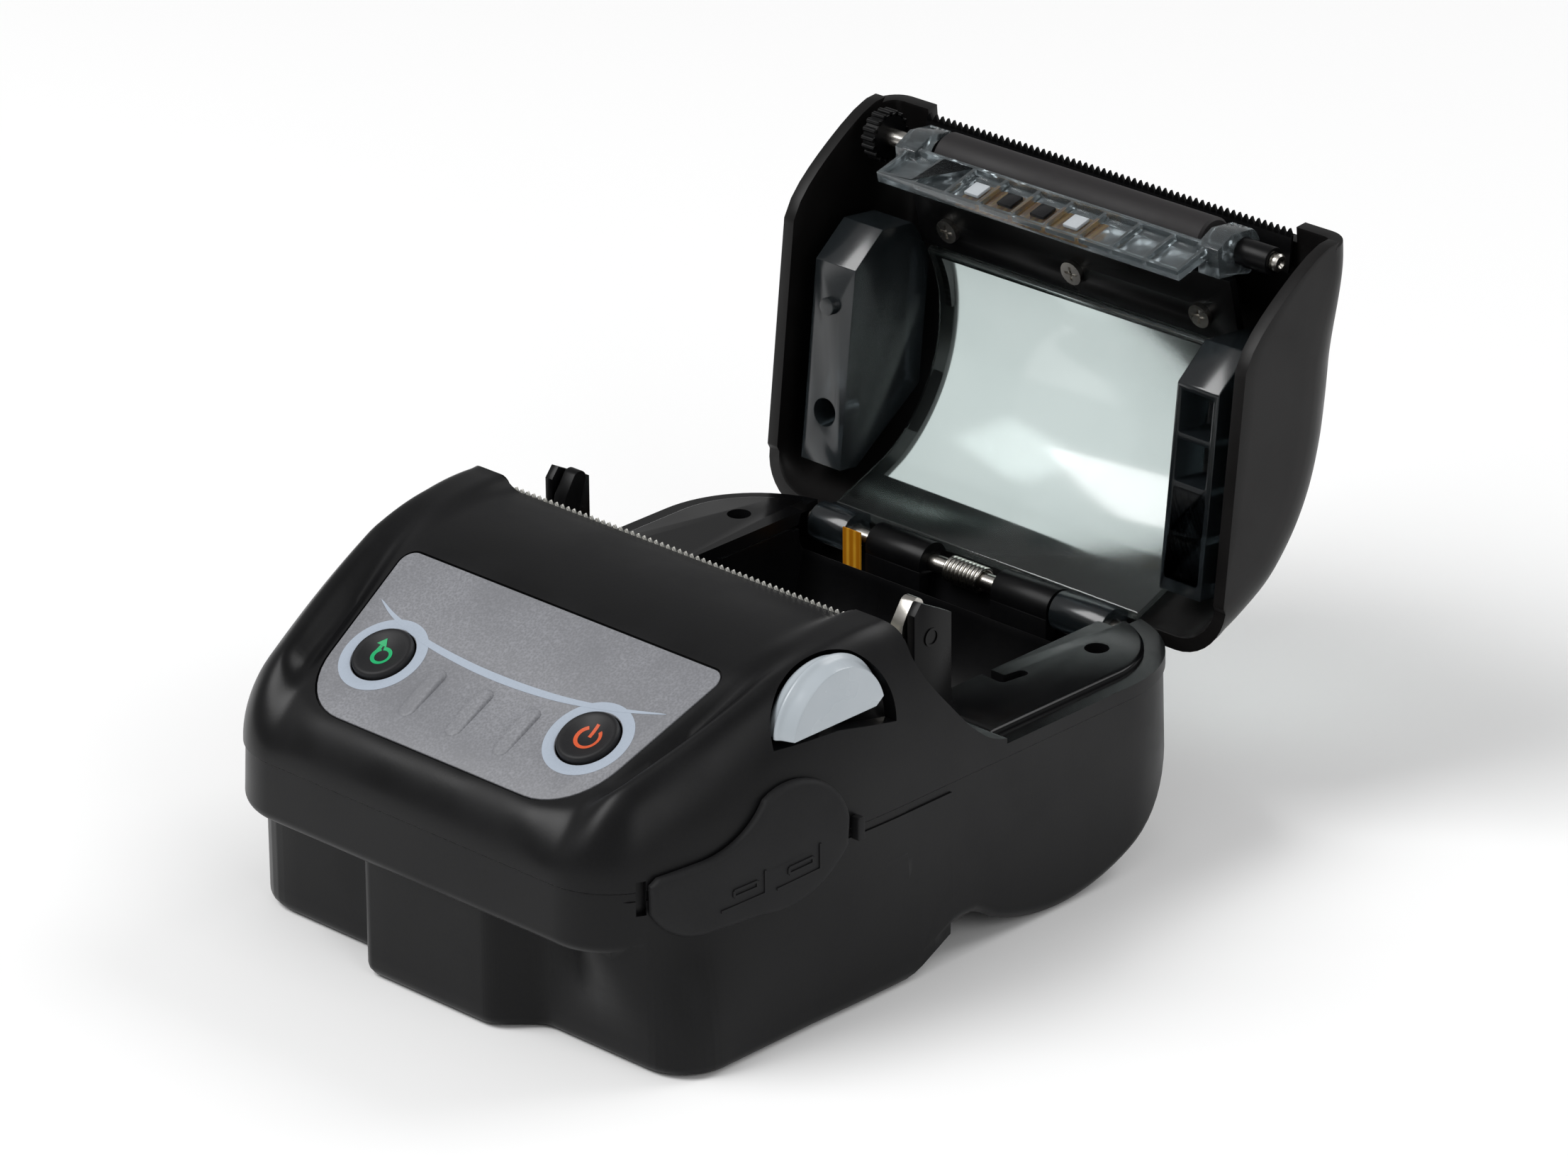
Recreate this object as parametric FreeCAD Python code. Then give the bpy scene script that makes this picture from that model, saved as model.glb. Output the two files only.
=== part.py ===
import FreeCAD, Part
import math
import os

# Portable receipt printer for 58 mm paper rolls, with its paper cover open. Millimetres: X runs to the
# right seen from the front, Y to the back and Z up. The origin is the middle of the flat underside.
V = FreeCAD.Vector

# Overall sizes of the body
body_width = 102.0
front_y = -32.0
rear_y = 96.0
seam_z = 30.3
rim_z = 33.8
wall = 2.2
body_gap = 0.3
half = body_width / 2

# Plan outline of the case at its seam
front_flat_half = half - 20.0
corner_r = 13.0
side_r = 150.0
rear_r = 20.0

# Foot block under the front, and the belly round the paper roll
step_z = 20.0
foot_front_y = -24.0
foot_right_x = half - 0.3
foot_left_x = 5.5 - half
foot_right_r = 6.0
foot_left_r = 9.0
foot_rear_y = 25.0
pad_front_y = -30.0
pad_left_x = -12.0
pad_right_x = 18.0
pad_flank = 3.5
flat_rear_y = 23.0
notch_front_y = 34.0
notch_z = 6.1
belly_y = rear_y - 36.0
belly_r = 36.7
notch_rear_y = belly_y - 18.5

# Hood, shoulders and key panel
panel_top_y = 2.5
panel_low_y = -26.8
panel_top_z = 54.2
panel_angle = 26.0
panel_half_top = 34.5
panel_half_low = 29.5
panel_top_r = 2.2
panel_low_r = 11.0
panel_margin = 1.2
sheet = 0.5
sheet_gap = 0.25
hood_rear_y = 26.3
hood_rear_z = 56.3
hood_crown_z = 56.9
shoulder_x = 38.0
shoulder_rear_y = 28.3
shoulder_top_z = 58.3
shoulder_low_z = 54.0
slope_foot_y = 46.0
slope_sag = 2.3
side_lean_x = half - 1.6
side_lean_z = 46.0
section_round_x = half - 3.1
section_round_z = 54.6
section_top_x = half - 8.0

# Roll bay
roll_y = rear_y - 33.5
roll_z = 31.0
cradle_r = 26.2
cradle_wall = 1.5
cradle_half = 32.0
bay_half = 33.7
bay_wide_half = half - 4.5
rim_front_y = 49.0
rim_hole_x = half - 12.0
rim_hole_y = rear_y - 15.2
rim_hole_r = 2.0

# Cover hinge
hinge_y = rear_y - 2.1
hinge_z = 30.3
open_angle = 96.4
hinge_shaft_r = 1.5
knuckle_r = 3.3
hinge_clear_r = 6.2
run_gap = 0.05
hinge_shaft_half = 35.0
body_knuckle_spans = [(-20.0, -8.0), (7.5, 19.5)]
lid_knuckle_spans = [(-33.0, -25.0), (20.0, 31.0)]

# Cover, given in its closed place
lid_half = half - 1.3
lid_wall = 2.2
lid_front_y = 28.9
lid_front_z = 58.4
lid_crown_y = 47.0
lid_crown_z = 60.4
lid_back_y = rear_y - 30.0
lid_back_z = 60.2
lid_turn_y = rear_y - 9.7
lid_turn_z = 50.3
lid_tail_y = rear_y - 1.0
lid_round_r = 9.0
lid_gap = 0.5
window_half = 30.5
window_front_y = 54.0
window_rear_y = rear_y - 8.0
liner_half = 33.0
liner_wall = 1.4
liner_y = rear_y - 31.0
liner_z = 31.0
liner_r = 26.0
liner_front_angle = 125.0
liner_rear_angle = 33.0
skirt_set = 1.2
strip_low_y = 38.2
strip_low_z = 47.2
strip_wall = 1.5
strip_half = 34.4
lid_screw_xs = [-27.2, 0.0, 27.2]
lid_screw_share = 0.62

# Roll guides inside the cover
guide_in_x = 34.7
guide_out_x = 43.5
guide_front_y = 46.5
guide_rear_y = rear_y - 9.0
guide_low_z = 36.0
guide_top_z = 54.0
guide_chamfer = 6.0
guide_wall = 1.2
guide_cells = 4

# Platen roller and its holder, closed
platen_y = 33.5
platen_z = 49.6
platen_r = 4.0
platen_half = 28.6
platen_shaft_r = 1.5
platen_shaft_left = -44.6
platen_shaft_right = 42.4
ear_in_x = 30.2
ear_out_x = 34.6
bush_r = 2.3
bush_out_x = 41.0
bar_half = 32.3
bar_top_y = 31.9
bar_top_z = 44.7
bar_low_y = 35.1
bar_low_z = 36.5
bar_depth = 1.9
bar_cells = 9
bar_rib = 0.8
cell_depth = 1.2

# Cutters
tear_half = 35.9
tear_z = 56.7
tear_low_z = 54.0
tear_wall = 0.8
tear_teeth = 56
cutter_half = 39.2
cutter_tip_y = 29.6
cutter_rear_y = 37.0
cutter_wall = 0.5
cutter_teeth = 60
tooth_height = 1.1

# Print mechanism
plate_in_x = 38.4
plate_wall = 1.5
head_half = 33.0
head_low_z = 43.0
head_top_z = 53.6
head_wall = 1.5
sink_wall = 3.5
sink_low_z = 40.0
leaf_wall = 1.0
back_plate_wall = 1.5
base_z = 20.0
base_front_y = 27.5
base_rear_y = 33.0
post_x = 20.0
post_r = 3.0

# Gear train on the left side plate
platen_gear_r = 4.5
output_gear_r = 6.4
small_gear_r = 4.2
big_gear_r = 8.5
pinion_r = 3.2
tooth_depth = 0.9
mesh_gap = 0.15
output_dir = (0.375, -0.927)
reduction_dir = (-0.8, -0.6)
pinion_dir = (-0.92, -0.392)
gear_out_x = -44.0
gear_mid_x = -41.3
gear_layer_gap = 0.2
gear_in_gap = 0.2
gear_pin_r = 1.0
motor_r = 9.0
motor_length = 14.0

# Opening lever and lock
lever_y = 11.3
lever_z = 46.5
lever_r = 10.3
lever_in_x = half - 8.0
lever_out_x = half - 2.0
lever_front_angle = 170.0
lever_rear_angle = 18.0
lever_travel = 15.0
lever_skin_x = half - 4.7
lever_hub_r = 3.0
lever_pin_r = 1.5
lever_slot_z = 48.0
lever_slot_gap = 0.5
ridge_width = 1.6
ridge_height = 0.8
lock_y = 35.0
lock_z = 34.0
lock_shaft_r = 1.5
lock_arm_in_x = 35.2
lock_arm_wall = 2.4

# Keys
key_x = 22.2
key_y = -14.9
key_r = 5.1
key_gap = 0.2
key_rise = 0.9
key_dome_r = 16.0
key_travel = 0.8
key_skirt = 3.6
switch_side = 6.0
switch_height = 3.0
board_wall = 1.6
led_xs = [-10.2, 0.0, 10.2]
led_y = -18.2
led_half_length = 3.2
led_r = 1.0

# Sockets and their rubber cap in the right wall
socket_low_z = 24.6
socket_high_z = 29.4
usb_span = (-12.0, -4.0)
serial_span = (-2.5, 5.5)
port_margin = 0.8
cap_gap = 0.3
cap_wall = 1.5
cap_axis_y = 11.7
cap_tab_end_y = 13.4

# Electronics and battery
main_board_rise = 0.3
main_board_span = (-40.0, half - 7.0, -25.0, 6.0)
battery_span = (-33.0, 33.0, -21.0, 14.0)
battery_top_z = 19.4
board_post_r = 2.0
board_post_xs = [-37.0, half - 10.0]
board_post_ys = [-8.0, 2.0]
contact_wall = 0.8

# Fasteners
screw_r = 1.35
screw_head_r = 2.7
screw_head_height = 1.6
screw_hole_gap = 0.15
boss_r = 3.3
front_screw_places = [(-37.0, -17.5), (38.0, -18.5)]
rear_screw_x = half - 7.2
rear_screw_y = rear_y - 30.0
boss_split_z = 24.0
screw_seat_z = 9.0

# Values worked out from the sizes above
panel_tan = math.tan(math.radians(panel_angle))
panel_normal = V(0, -math.sin(math.radians(panel_angle)), math.cos(math.radians(panel_angle)))
output_y = platen_y + output_dir[0] * (platen_gear_r + output_gear_r + mesh_gap)
output_z = platen_z + output_dir[1] * (platen_gear_r + output_gear_r + mesh_gap)
reduction_y = output_y + reduction_dir[0] * (output_gear_r + small_gear_r + mesh_gap)
reduction_z = output_z + reduction_dir[1] * (output_gear_r + small_gear_r + mesh_gap)
pinion_y = reduction_y + pinion_dir[0] * (big_gear_r + pinion_r + mesh_gap)
pinion_z = reduction_z + pinion_dir[1] * (big_gear_r + pinion_r + mesh_gap)
plate_out_x = plate_in_x + plate_wall
belly_z = belly_r
head_y = platen_y - platen_r - body_gap
main_board_z = step_z + wall + main_board_rise
cutter_top_z = lid_front_z - lid_wall
skirt_y = hinge_y - skirt_set
lever_reach = lever_r + ridge_height + lever_slot_gap
sink_y = head_y - head_wall
leaf_y = sink_y - sink_wall
back_plate_y = leaf_y - leaf_wall
case_screw_places = front_screw_places + [(s * rear_screw_x, rear_screw_y) for s in (-1, 1)]
far = 200.0


def panel_z(y):
    return panel_top_z + panel_tan * (y - panel_top_y)


def wire_of(points, place):
    """Closed wire; a point of four numbers is the end of an arc through its last two."""
    edges = []
    last = points[0]
    for point in points[1:] + [points[0]]:
        start = place(last[0], last[1])
        end = place(point[0], point[1])
        if len(point) == 4:
            edges.append(Part.Arc(start, place(point[2], point[3]), end).toShape())
        elif start.distanceToPoint(end) > 1e-6:
            edges.append(Part.LineSegment(start, end).toShape())
        last = point
    return Part.Wire(edges)


def along_x(points, x0, x1):
    """Prism with a side-view outline of (y, z) points."""
    wire = wire_of(points, lambda y, z: V(x0, y, z))
    return Part.Face(wire).extrude(V(x1 - x0, 0, 0))


def along_y(points, y0, y1):
    """Prism with a front-view outline of (x, z) points."""
    wire = wire_of(points, lambda x, z: V(x, y0, z))
    return Part.Face(wire).extrude(V(0, y1 - y0, 0))


def along_z(points, z0, z1):
    """Prism with a plan outline of (x, y) points."""
    wire = wire_of(points, lambda x, y: V(x, y, z0))
    return Part.Face(wire).extrude(V(0, 0, z1 - z0))


def block(x0, x1, y0, y1, z0, z1):
    return Part.makeBox(x1 - x0, y1 - y0, z1 - z0, V(x0, y0, z0))


def rod(x0, x1, y, z, r):
    return Part.makeCylinder(r, x1 - x0, V(x0, y, z), V(1, 0, 0))


def tube(x0, x1, y, z, r, bore):
    return rod(x0, x1, y, z, r).cut(rod(x0, x1, y, z, bore))


def post(x, y, z0, z1, r):
    return Part.makeCylinder(r, z1 - z0, V(x, y, z0), V(0, 0, 1))


def joined(shapes):
    result = shapes[0]
    for shape in shapes[1:]:
        result = result.fuse(shape)
    return result.removeSplitter()


def without(shape, tools):
    for tool in tools:
        shape = shape.cut(tool)
    return shape


def mirrored(shape):
    return shape.mirror(V(0, 0, 0), V(1, 0, 0))


def opened(shape):
    """Turn a piece of the cover from its closed place to the open one."""
    turned = shape.copy()
    turned.rotate(V(0, hinge_y, hinge_z), V(1, 0, 0), -open_angle)
    return turned


def save(name, shape):
    solids = shape.Solids
    result = solids[0] if len(solids) == 1 else Part.makeCompound(solids)
    result.exportStep("parts/" + name + ".step")


def on_circle(centre, r, angle):
    return (centre[0] + r * math.cos(angle), centre[1] + r * math.sin(angle))


def case_outline(inset):
    """Plan outline of the case, moved inwards by inset."""
    corner = (front_flat_half, front_y + corner_r)
    reach_x = side_r - half + front_flat_half
    reach_y = math.sqrt((side_r - corner_r) ** 2 - reach_x ** 2)
    side = (half - side_r, corner[1] + reach_y)
    meet = math.atan2(-reach_y, reach_x)
    rear = (half - rear_r, rear_y - rear_r)
    side_x = half - inset
    right = [
        (corner[0], front_y + inset),
        on_circle(corner, corner_r - inset, meet)
        + on_circle(corner, corner_r - inset, (meet - math.pi / 2) / 2),
        (side_x, side[1]) + on_circle(side, side_r - inset, meet / 2),
        (side_x, rear[1]),
        (rear[0], rear_y - inset) + on_circle(rear, rear_r - inset, math.pi / 4),
    ]
    left = []
    for here, before in zip(right[::-1], [None] + right[:0:-1]):
        start = (-here[0], here[1])
        if before is not None and len(before) == 4:
            start = start + (-before[2], before[3])
        left.append(start)
    return right + left


def section_outline(inset):
    """Front-view outline that rounds the top of both shoulders, moved inwards by inset."""
    low_z = seam_z - far
    right = [
        (half - inset, low_z),
        (half - inset, seam_z),
        (side_lean_x - inset, side_lean_z),
        (section_top_x - inset, shoulder_top_z - inset,
         section_round_x - inset, section_round_z - inset / 2),
    ]
    left = [
        (inset - section_top_x, shoulder_top_z - inset),
        (inset - side_lean_x, side_lean_z, inset - section_round_x, section_round_z - inset / 2),
        (inset - half, seam_z),
        (inset - half, low_z),
    ]
    return right + left


def front_slope(inset):
    """Side-view points of the front and the key panel, from the seam up to the panel's top."""
    along = inset * math.sin(math.radians(panel_angle))
    down = inset * math.cos(math.radians(panel_angle))
    low_y = panel_low_y - panel_margin
    top_y = panel_top_y + panel_margin
    low = (low_y + along, panel_z(low_y) - down)
    bulge = ((front_y + low_y) / 2 - 1.0 + inset, (seam_z + panel_z(low_y)) / 2 + 1.0 - inset / 2)
    return [
        (front_y + inset, seam_z - far),
        (front_y + inset, seam_z),
        low + bulge,
        (top_y + along, panel_z(top_y) - down),
    ]


def hood_profile(inset, rear):
    crown = ((panel_top_y + hood_rear_y) / 2, hood_crown_z - inset)
    return front_slope(inset) + [(rear, hood_rear_z - inset) + crown, (rear, seam_z - far)]


def slope_points(high, low):
    """Places on the sunken slope between a shoulder and the rim, from the top down."""
    run = low[0] - high[0]
    drop = high[1] - low[1]
    points = []
    for share in (0.25, 0.5, 0.75):
        sag = slope_sag * 4 * share * (1 - share) / math.hypot(run, drop)
        points.append((high[0] + share * run - sag * drop, high[1] - share * drop - sag * run))
    return points


def shoulder_profile(inset):
    """Side view of a shoulder, its slope down to the rim, and the rim."""
    crown = ((panel_top_y + hood_rear_y) / 2, (hood_crown_z + shoulder_top_z) / 2 - inset)
    high = (shoulder_rear_y - inset, shoulder_low_z - inset / 2)
    low = (slope_foot_y - inset, rim_z - inset)
    return front_slope(inset) + [
        (shoulder_rear_y - inset, shoulder_top_z - inset) + crown,
        high,
        *slope_points(high, low),
        low,
        (rear_y + far, rim_z - inset),
        (rear_y + far, seam_z - far),
    ]


def case_shape(inset):
    """Everything inside the upper case's skin, moved inwards by inset."""
    centre = along_x(hood_profile(inset, hood_rear_y), -shoulder_x, shoulder_x)
    sides = along_x(shoulder_profile(inset), -far, far)
    sides = sides.cut(block(-shoulder_x, shoulder_x, -far, far, -far, far))
    section = along_y(section_outline(inset), -far, far)
    outline = along_z(case_outline(inset), -far, far)
    return centre.fuse(sides).common(section).common(outline)


def panel_outline(grow):
    """Plan outline of the key panel; grow widens it all round."""
    top = panel_top_y + grow
    low = panel_low_y - grow
    wide = panel_half_top + grow
    narrow = panel_half_low + grow
    r_top = panel_top_r + grow
    r_low = panel_low_r + grow
    slant = (wide - narrow) / (panel_top_y - panel_low_y)
    low_x = narrow + slant * r_low
    third = 0.29
    right = [
        (narrow - r_low, low),
        (low_x, low + r_low, low_x - third * r_low, low + third * r_low),
        (wide - slant * r_top, top - r_top),
        (wide - r_top, top, wide - third * r_top, top - third * r_top),
    ]
    left = [
        (r_top - wide, top),
        (slant * r_top - wide, top - r_top, third * r_top - wide, top - third * r_top),
        (-low_x, low + r_low),
        (r_low - narrow, low, third * r_low - low_x, low + third * r_low),
    ]
    return right + left


def panel_slab(top, bottom):
    """Slab parallel to the key panel, between two depths below its face."""
    lift = 1 / math.cos(math.radians(panel_angle))
    low_y = front_y - 20
    high_y = hood_rear_y
    return along_x([
        (low_y, panel_z(low_y) - bottom * lift),
        (high_y, panel_z(high_y) - bottom * lift),
        (high_y, panel_z(high_y) - top * lift),
        (low_y, panel_z(low_y) - top * lift),
    ], -far, far)


def panel_rod(x, y, top, bottom, r):
    """Cylinder square to the key panel, between two depths below its face."""
    start = V(x, y, panel_z(y)) - panel_normal * bottom
    return Part.makeCylinder(r, bottom - top, start, panel_normal)


def led_pin(x, top, bottom, r):
    slant = math.cos(math.radians(panel_angle))
    ends = [led_y - led_half_length * slant, led_y + led_half_length * slant]
    rods = [panel_rod(x, y, top, bottom, r) for y in ends]
    middle = along_z([
        (x - r, ends[0]), (x + r, ends[0]), (x + r, ends[1]), (x - r, ends[1]),
    ], 0, far).common(panel_slab(top, bottom))
    return joined(rods + [middle])


def port_opening(margin, x0, x1):
    return block(
        x0, x1, usb_span[0] - margin, serial_span[1] + margin,
        socket_low_z - margin, socket_high_z + margin,
    )


def cap_silhouette():
    """Side view of the rubber cap: low in front, rising in an S to a round lobe behind."""
    return [
        (-23.8, 27.0),
        (-23.8, 31.6),
        (-22.6, 32.6),
        (-15.0, 33.4),
        (-4.2, 40.2, -8.4, 36.0),
        (10.9, 33.6, 5.4, 40.9),
        (10.6, 29.0),
        (-6.0, 22.0, 5.2, 24.0),
        (-14.0, 21.7),
        (-23.8, 27.0, -21.0, 23.4),
    ]


def upper_case():
    shell = case_shape(0).cut(block(-far, far, -far, far, -far, seam_z))
    core = case_shape(wall)
    rear_wall = block(-far, far, shoulder_rear_y - wall, far, seam_z, far)
    rear_wall = rear_wall.cut(block(-far, far, slope_foot_y, far, -far, far))
    core = core.cut(rear_wall.cut(block(-shoulder_x, shoulder_x, -far, far, -far, far)))
    shell = shell.cut(core)
    bay = joined([
        block(-bay_half, bay_half, hood_rear_y, far, -far, far),
        block(-bay_wide_half, bay_wide_half, shoulder_rear_y, rim_front_y, -far, far),
    ])
    rear_y0 = shoulder_rear_y - wall - 1
    gear_side = gear_out_x - 3 * body_gap
    gear_slot = block(
        gear_side, -plate_out_x, rear_y0, shoulder_rear_y + 1, -far, platen_z + platen_gear_r - 1,
    )
    plate_slot = block(
        gear_side, plate_out_x + 2 * body_gap, rear_y0, shoulder_rear_y + 1, -far, platen_z,
    )
    slot = rod(lever_in_x - 1, far, lever_y, lever_z, lever_reach)
    slot = slot.common(block(-far, far, -far, far, lever_slot_z, far))
    pocket = along_z(panel_outline(sheet_gap), 0, far).common(panel_slab(-far, sheet))
    keys = [panel_rod(x, key_y, -far, 10, key_r + key_gap) for x in (-key_x, key_x)]
    leds = [led_pin(x, -5, 8, led_r + sheet_gap) for x in led_xs]
    hinge_room = rod(-far, far, hinge_y, hinge_z, hinge_clear_r)
    holes = [post(x, rim_hole_y, seam_z, far, rim_hole_r) for x in (-rim_hole_x, rim_hole_x)]
    shell = without(shell, [bay, gear_slot, plate_slot, slot, pocket, hinge_room] + keys + leds + holes)
    skin = case_shape(wall / 2)
    bosses = []
    for x, y in case_screw_places:
        boss = post(x, y, boss_split_z, far, boss_r).common(skin)
        bosses.append(boss.cut(post(x, y, 0, boss_split_z + 8, screw_r + run_gap)))
    board_posts = []
    for x in (-key_x - 9, key_x + 9):
        board_posts.append(panel_rod(x, key_y - 3, wall / 2, board_depth(), 1.5))
    return joined([shell] + bosses + board_posts)


def foot_outline(inset):
    """Plan outline of the block under the front, moved inwards by inset."""
    front = foot_front_y + inset
    left = foot_left_x + inset
    right = foot_right_x - inset
    pad = pad_front_y + inset
    r_left = foot_left_r - inset
    r_right = foot_right_r - inset
    third = 0.29
    return [
        (left, foot_rear_y + 10),
        (left, front + r_left),
        (left + r_left, front, left + third * r_left, front + third * r_left),
        (pad_left_x - pad_flank + inset, front),
        (pad_left_x + inset, pad),
        (pad_right_x - inset, pad),
        (pad_right_x + pad_flank - inset, front),
        (right - r_right, front),
        (right, front + r_right, right - third * r_right, front + third * r_right),
        (right, foot_rear_y + 10),
    ]


def underside(inset):
    """Side view of the underside: flat front, finger notch, round belly; moved inwards by inset."""
    r = belly_r - inset
    start_y = notch_rear_y + 1.5 + inset
    start_z = belly_z - math.sqrt(r ** 2 - (start_y - belly_y) ** 2)
    end_y = belly_y + r - 0.7
    end_z = belly_z - math.sqrt(r ** 2 - (end_y - belly_y) ** 2)
    return [
        (-far, far),
        (-far, inset),
        (flat_rear_y - inset / 2, inset),
        (notch_front_y - inset / 2, notch_z + inset),
        (notch_rear_y + inset / 2, notch_z + inset),
        (start_y, start_z),
        (end_y, end_z, belly_y + r * 0.6, belly_z - r * 0.8),
        (end_y, far),
    ]


def lower_shape(inset, top):
    outline = along_z(case_outline(inset), -far, top)
    band = outline.cut(block(-far, far, -far, foot_rear_y + inset, -far, step_z + inset))
    foot = along_z(foot_outline(inset), -far, step_z - inset)
    neck = along_z(foot_outline(inset), -far, top).common(outline)
    sides = along_x(underside(inset), -far, far)
    return band.fuse(foot).fuse(neck).common(sides)


def lower_case():
    shell = lower_shape(0, seam_z)
    core = lower_shape(wall, seam_z + 1)
    bosses = []
    holes = []
    for x, y in case_screw_places:
        bosses.append(post(x, y, -far, boss_split_z, boss_r))
        holes.append(post(x, y, -far, far, screw_r + screw_hole_gap))
        holes.append(post(x, y, -far, screw_seat_z, screw_head_r + screw_hole_gap))
    for x in board_post_xs:
        for y in board_post_ys:
            bosses.append(post(x, y, -far, main_board_z, board_post_r))
    frame_y = (base_front_y + base_rear_y) / 2
    for x in (-post_x, post_x):
        bosses.append(post(x, frame_y, -far, base_z, post_r))
        holes.append(post(x, frame_y, base_z - 6, base_z + 1, screw_r + run_gap))
    bosses = [boss.common(lower_shape(wall / 2, seam_z)) for boss in bosses]
    hinge_room = rod(-far, far, hinge_y, hinge_z, hinge_clear_r)
    port = port_opening(port_margin, half - 14, far)
    shell = joined([shell.cut(core)] + bosses)
    return without(shell, holes + [hinge_room, port])


def panel_sheet():
    sheet_solid = along_z(panel_outline(0), 0, far).common(panel_slab(0, sheet))
    holes = [panel_rod(x, key_y, -far, 10, key_r + key_gap) for x in (-key_x, key_x)]
    leds = [led_pin(x, -0.3, sheet, led_r + 0.4) for x in led_xs]
    sheet_solid = without(sheet_solid, holes)
    return joined([sheet_solid] + leds)


def board_depth():
    return sheet + key_skirt + key_travel + switch_height


def key(x):
    """Round rubber key with a domed top, a skirt and a stem end over its switch."""
    body = panel_rod(x, key_y, -key_rise, sheet + key_skirt, key_r)
    top = V(x, key_y, panel_z(key_y)) + panel_normal * (key_rise - key_dome_r)
    return body.common(Part.makeSphere(key_dome_r, top))


def key_switches():
    switches = []
    for x in (-key_x, key_x):
        side = switch_side / 2
        column = block(x - side, x + side, key_y - side, key_y + side, 0, far)
        column = column.common(panel_slab(board_depth() - switch_height + 0.8, board_depth()))
        stem = panel_rod(x, key_y, board_depth() - switch_height + 0.1, board_depth() - 1, 1.6)
        switches.append(joined([column, stem]))
    return Part.makeCompound(switches)


def panel_board():
    area = block(-key_x - 11, key_x + 11, panel_low_y + 3, key_y + 8, 0, far)
    return area.common(panel_slab(board_depth(), board_depth() + board_wall))


def light_guides():
    return Part.makeCompound([led_pin(x, sheet, board_depth(), led_r) for x in led_xs])


def toothed_strip(half_length, teeth, root, tip):
    """Outline of a strip's toothed edge from left to right: (place, height) points."""
    pitch = 2 * half_length / teeth
    points = []
    for i in range(teeth):
        start = -half_length + i * pitch
        points.append((start, root))
        points.append((start + pitch * 0.3, tip))
        points.append((start + pitch * 0.6, tip))
    points.append((half_length, root))
    return points


def tear_bar():
    teeth = toothed_strip(tear_half, tear_teeth, tear_z - tooth_height, tear_z)
    outline = [(-tear_half, tear_low_z)] + teeth + [(tear_half, tear_low_z)]
    return along_y(outline, hood_rear_y, hood_rear_y + tear_wall)


def lid_cutter():
    teeth = toothed_strip(cutter_half, cutter_teeth, cutter_tip_y + tooth_height, cutter_tip_y)
    outline = [(-cutter_half, cutter_rear_y)] + teeth + [(cutter_half, cutter_rear_y)]
    return along_z(outline, cutter_top_z - cutter_wall, cutter_top_z)


def roll_cradle():
    outer_r = cradle_r + cradle_wall
    drum = rod(-cradle_half - cradle_wall, cradle_half + cradle_wall, roll_y, roll_z, outer_r)
    hollow = rod(-cradle_half, cradle_half, roll_y, roll_z, cradle_r)
    below = block(-far, far, -far, far, -far, roll_z)
    trough = drum.cut(hollow).common(below)
    flange_z = rim_z - wall
    flange_y = (rim_front_y + 6, rear_y - 10)
    flange = block(-bay_half - 6, bay_half + 6, *flange_y, flange_z - cradle_wall, flange_z)
    flange = flange.cut(block(-cradle_half, cradle_half, -far, far, -far, far))
    web_z = roll_z - 1
    webs = block(-cradle_half - cradle_wall, cradle_half + cradle_wall, *flange_y, web_z, flange_z)
    webs = webs.cut(block(-cradle_half, cradle_half, -far, far, -far, far))
    return joined([trough, flange, webs]).cut(rod(-far, far, hinge_y, hinge_z, hinge_clear_r))


def side_plate(x0, x1):
    """Upright plate of the print mechanism, with a raised rear horn."""
    outline = [
        (pinion_y - motor_r - 1, base_z),
        (46.0, base_z),
        (46.0, 51.8),
        (39.2, 55.4),
        (37.7, 53.6),
        (37.7, head_low_z),
        (back_plate_y, head_low_z + 6),
        (lever_y - 4, lever_z + 4),
        (pinion_y - motor_r - 1, lever_z - 6),
    ]
    return along_x(outline, x0, x1)


def mechanism_frame():
    right = side_plate(plate_in_x, plate_out_x)
    left = side_plate(-plate_out_x, -plate_in_x)
    base = block(-plate_in_x, plate_in_x, base_front_y, base_rear_y, base_z, base_z + plate_wall)
    back_low_z = pinion_z + motor_r + 1
    back = block(
        -plate_in_x, plate_in_x, back_plate_y - back_plate_wall, back_plate_y,
        back_low_z, head_top_z - 2,
    )
    frame = joined([right, left, base, back])
    frame_y = (base_front_y + base_rear_y) / 2
    holes = [post(x, frame_y, base_z - 1, base_z + 3, screw_r + run_gap) for x in (-post_x, post_x)]
    holes.append(rod(-far, far, lock_y, lock_z, lock_shaft_r + run_gap))
    holes.append(rod(0, far, lever_y, lever_z, lever_pin_r))
    holes.append(rod(-far, 0, pinion_y, pinion_z, gear_pin_r + run_gap))
    return without(frame, holes)


def gear(x0, x1, y, z, outer_r, bore):
    """Spur gear with one tooth for each 1.6 mm of its rim."""
    teeth = int(2 * math.pi * outer_r / 1.6)
    points = []
    for i in range(teeth):
        for share, r in ((0.0, outer_r - tooth_depth), (0.3, outer_r), (0.6, outer_r)):
            angle = 2 * math.pi * (i + share) / teeth
            points.append(on_circle((y, z), r, angle))
    return along_x(points, x0, x1).cut(rod(x0, x1, y, z, bore))


def big_layer():
    return (gear_mid_x + gear_layer_gap, -plate_out_x - gear_in_gap)


def motor_pinion():
    x0, x1 = big_layer()
    teeth = gear(x0, x1, pinion_y, pinion_z, pinion_r, gear_pin_r / 2)
    shaft = rod(x0, -plate_in_x - 0.2, pinion_y, pinion_z, gear_pin_r)
    return joined([teeth, shaft])


def reduction_gear():
    x0, x1 = big_layer()
    big = gear(x0, x1, reduction_y, reduction_z, big_gear_r, gear_pin_r + run_gap)
    small = gear(gear_out_x, x0, reduction_y, reduction_z, small_gear_r, gear_pin_r + run_gap)
    return joined([big, small])


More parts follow.
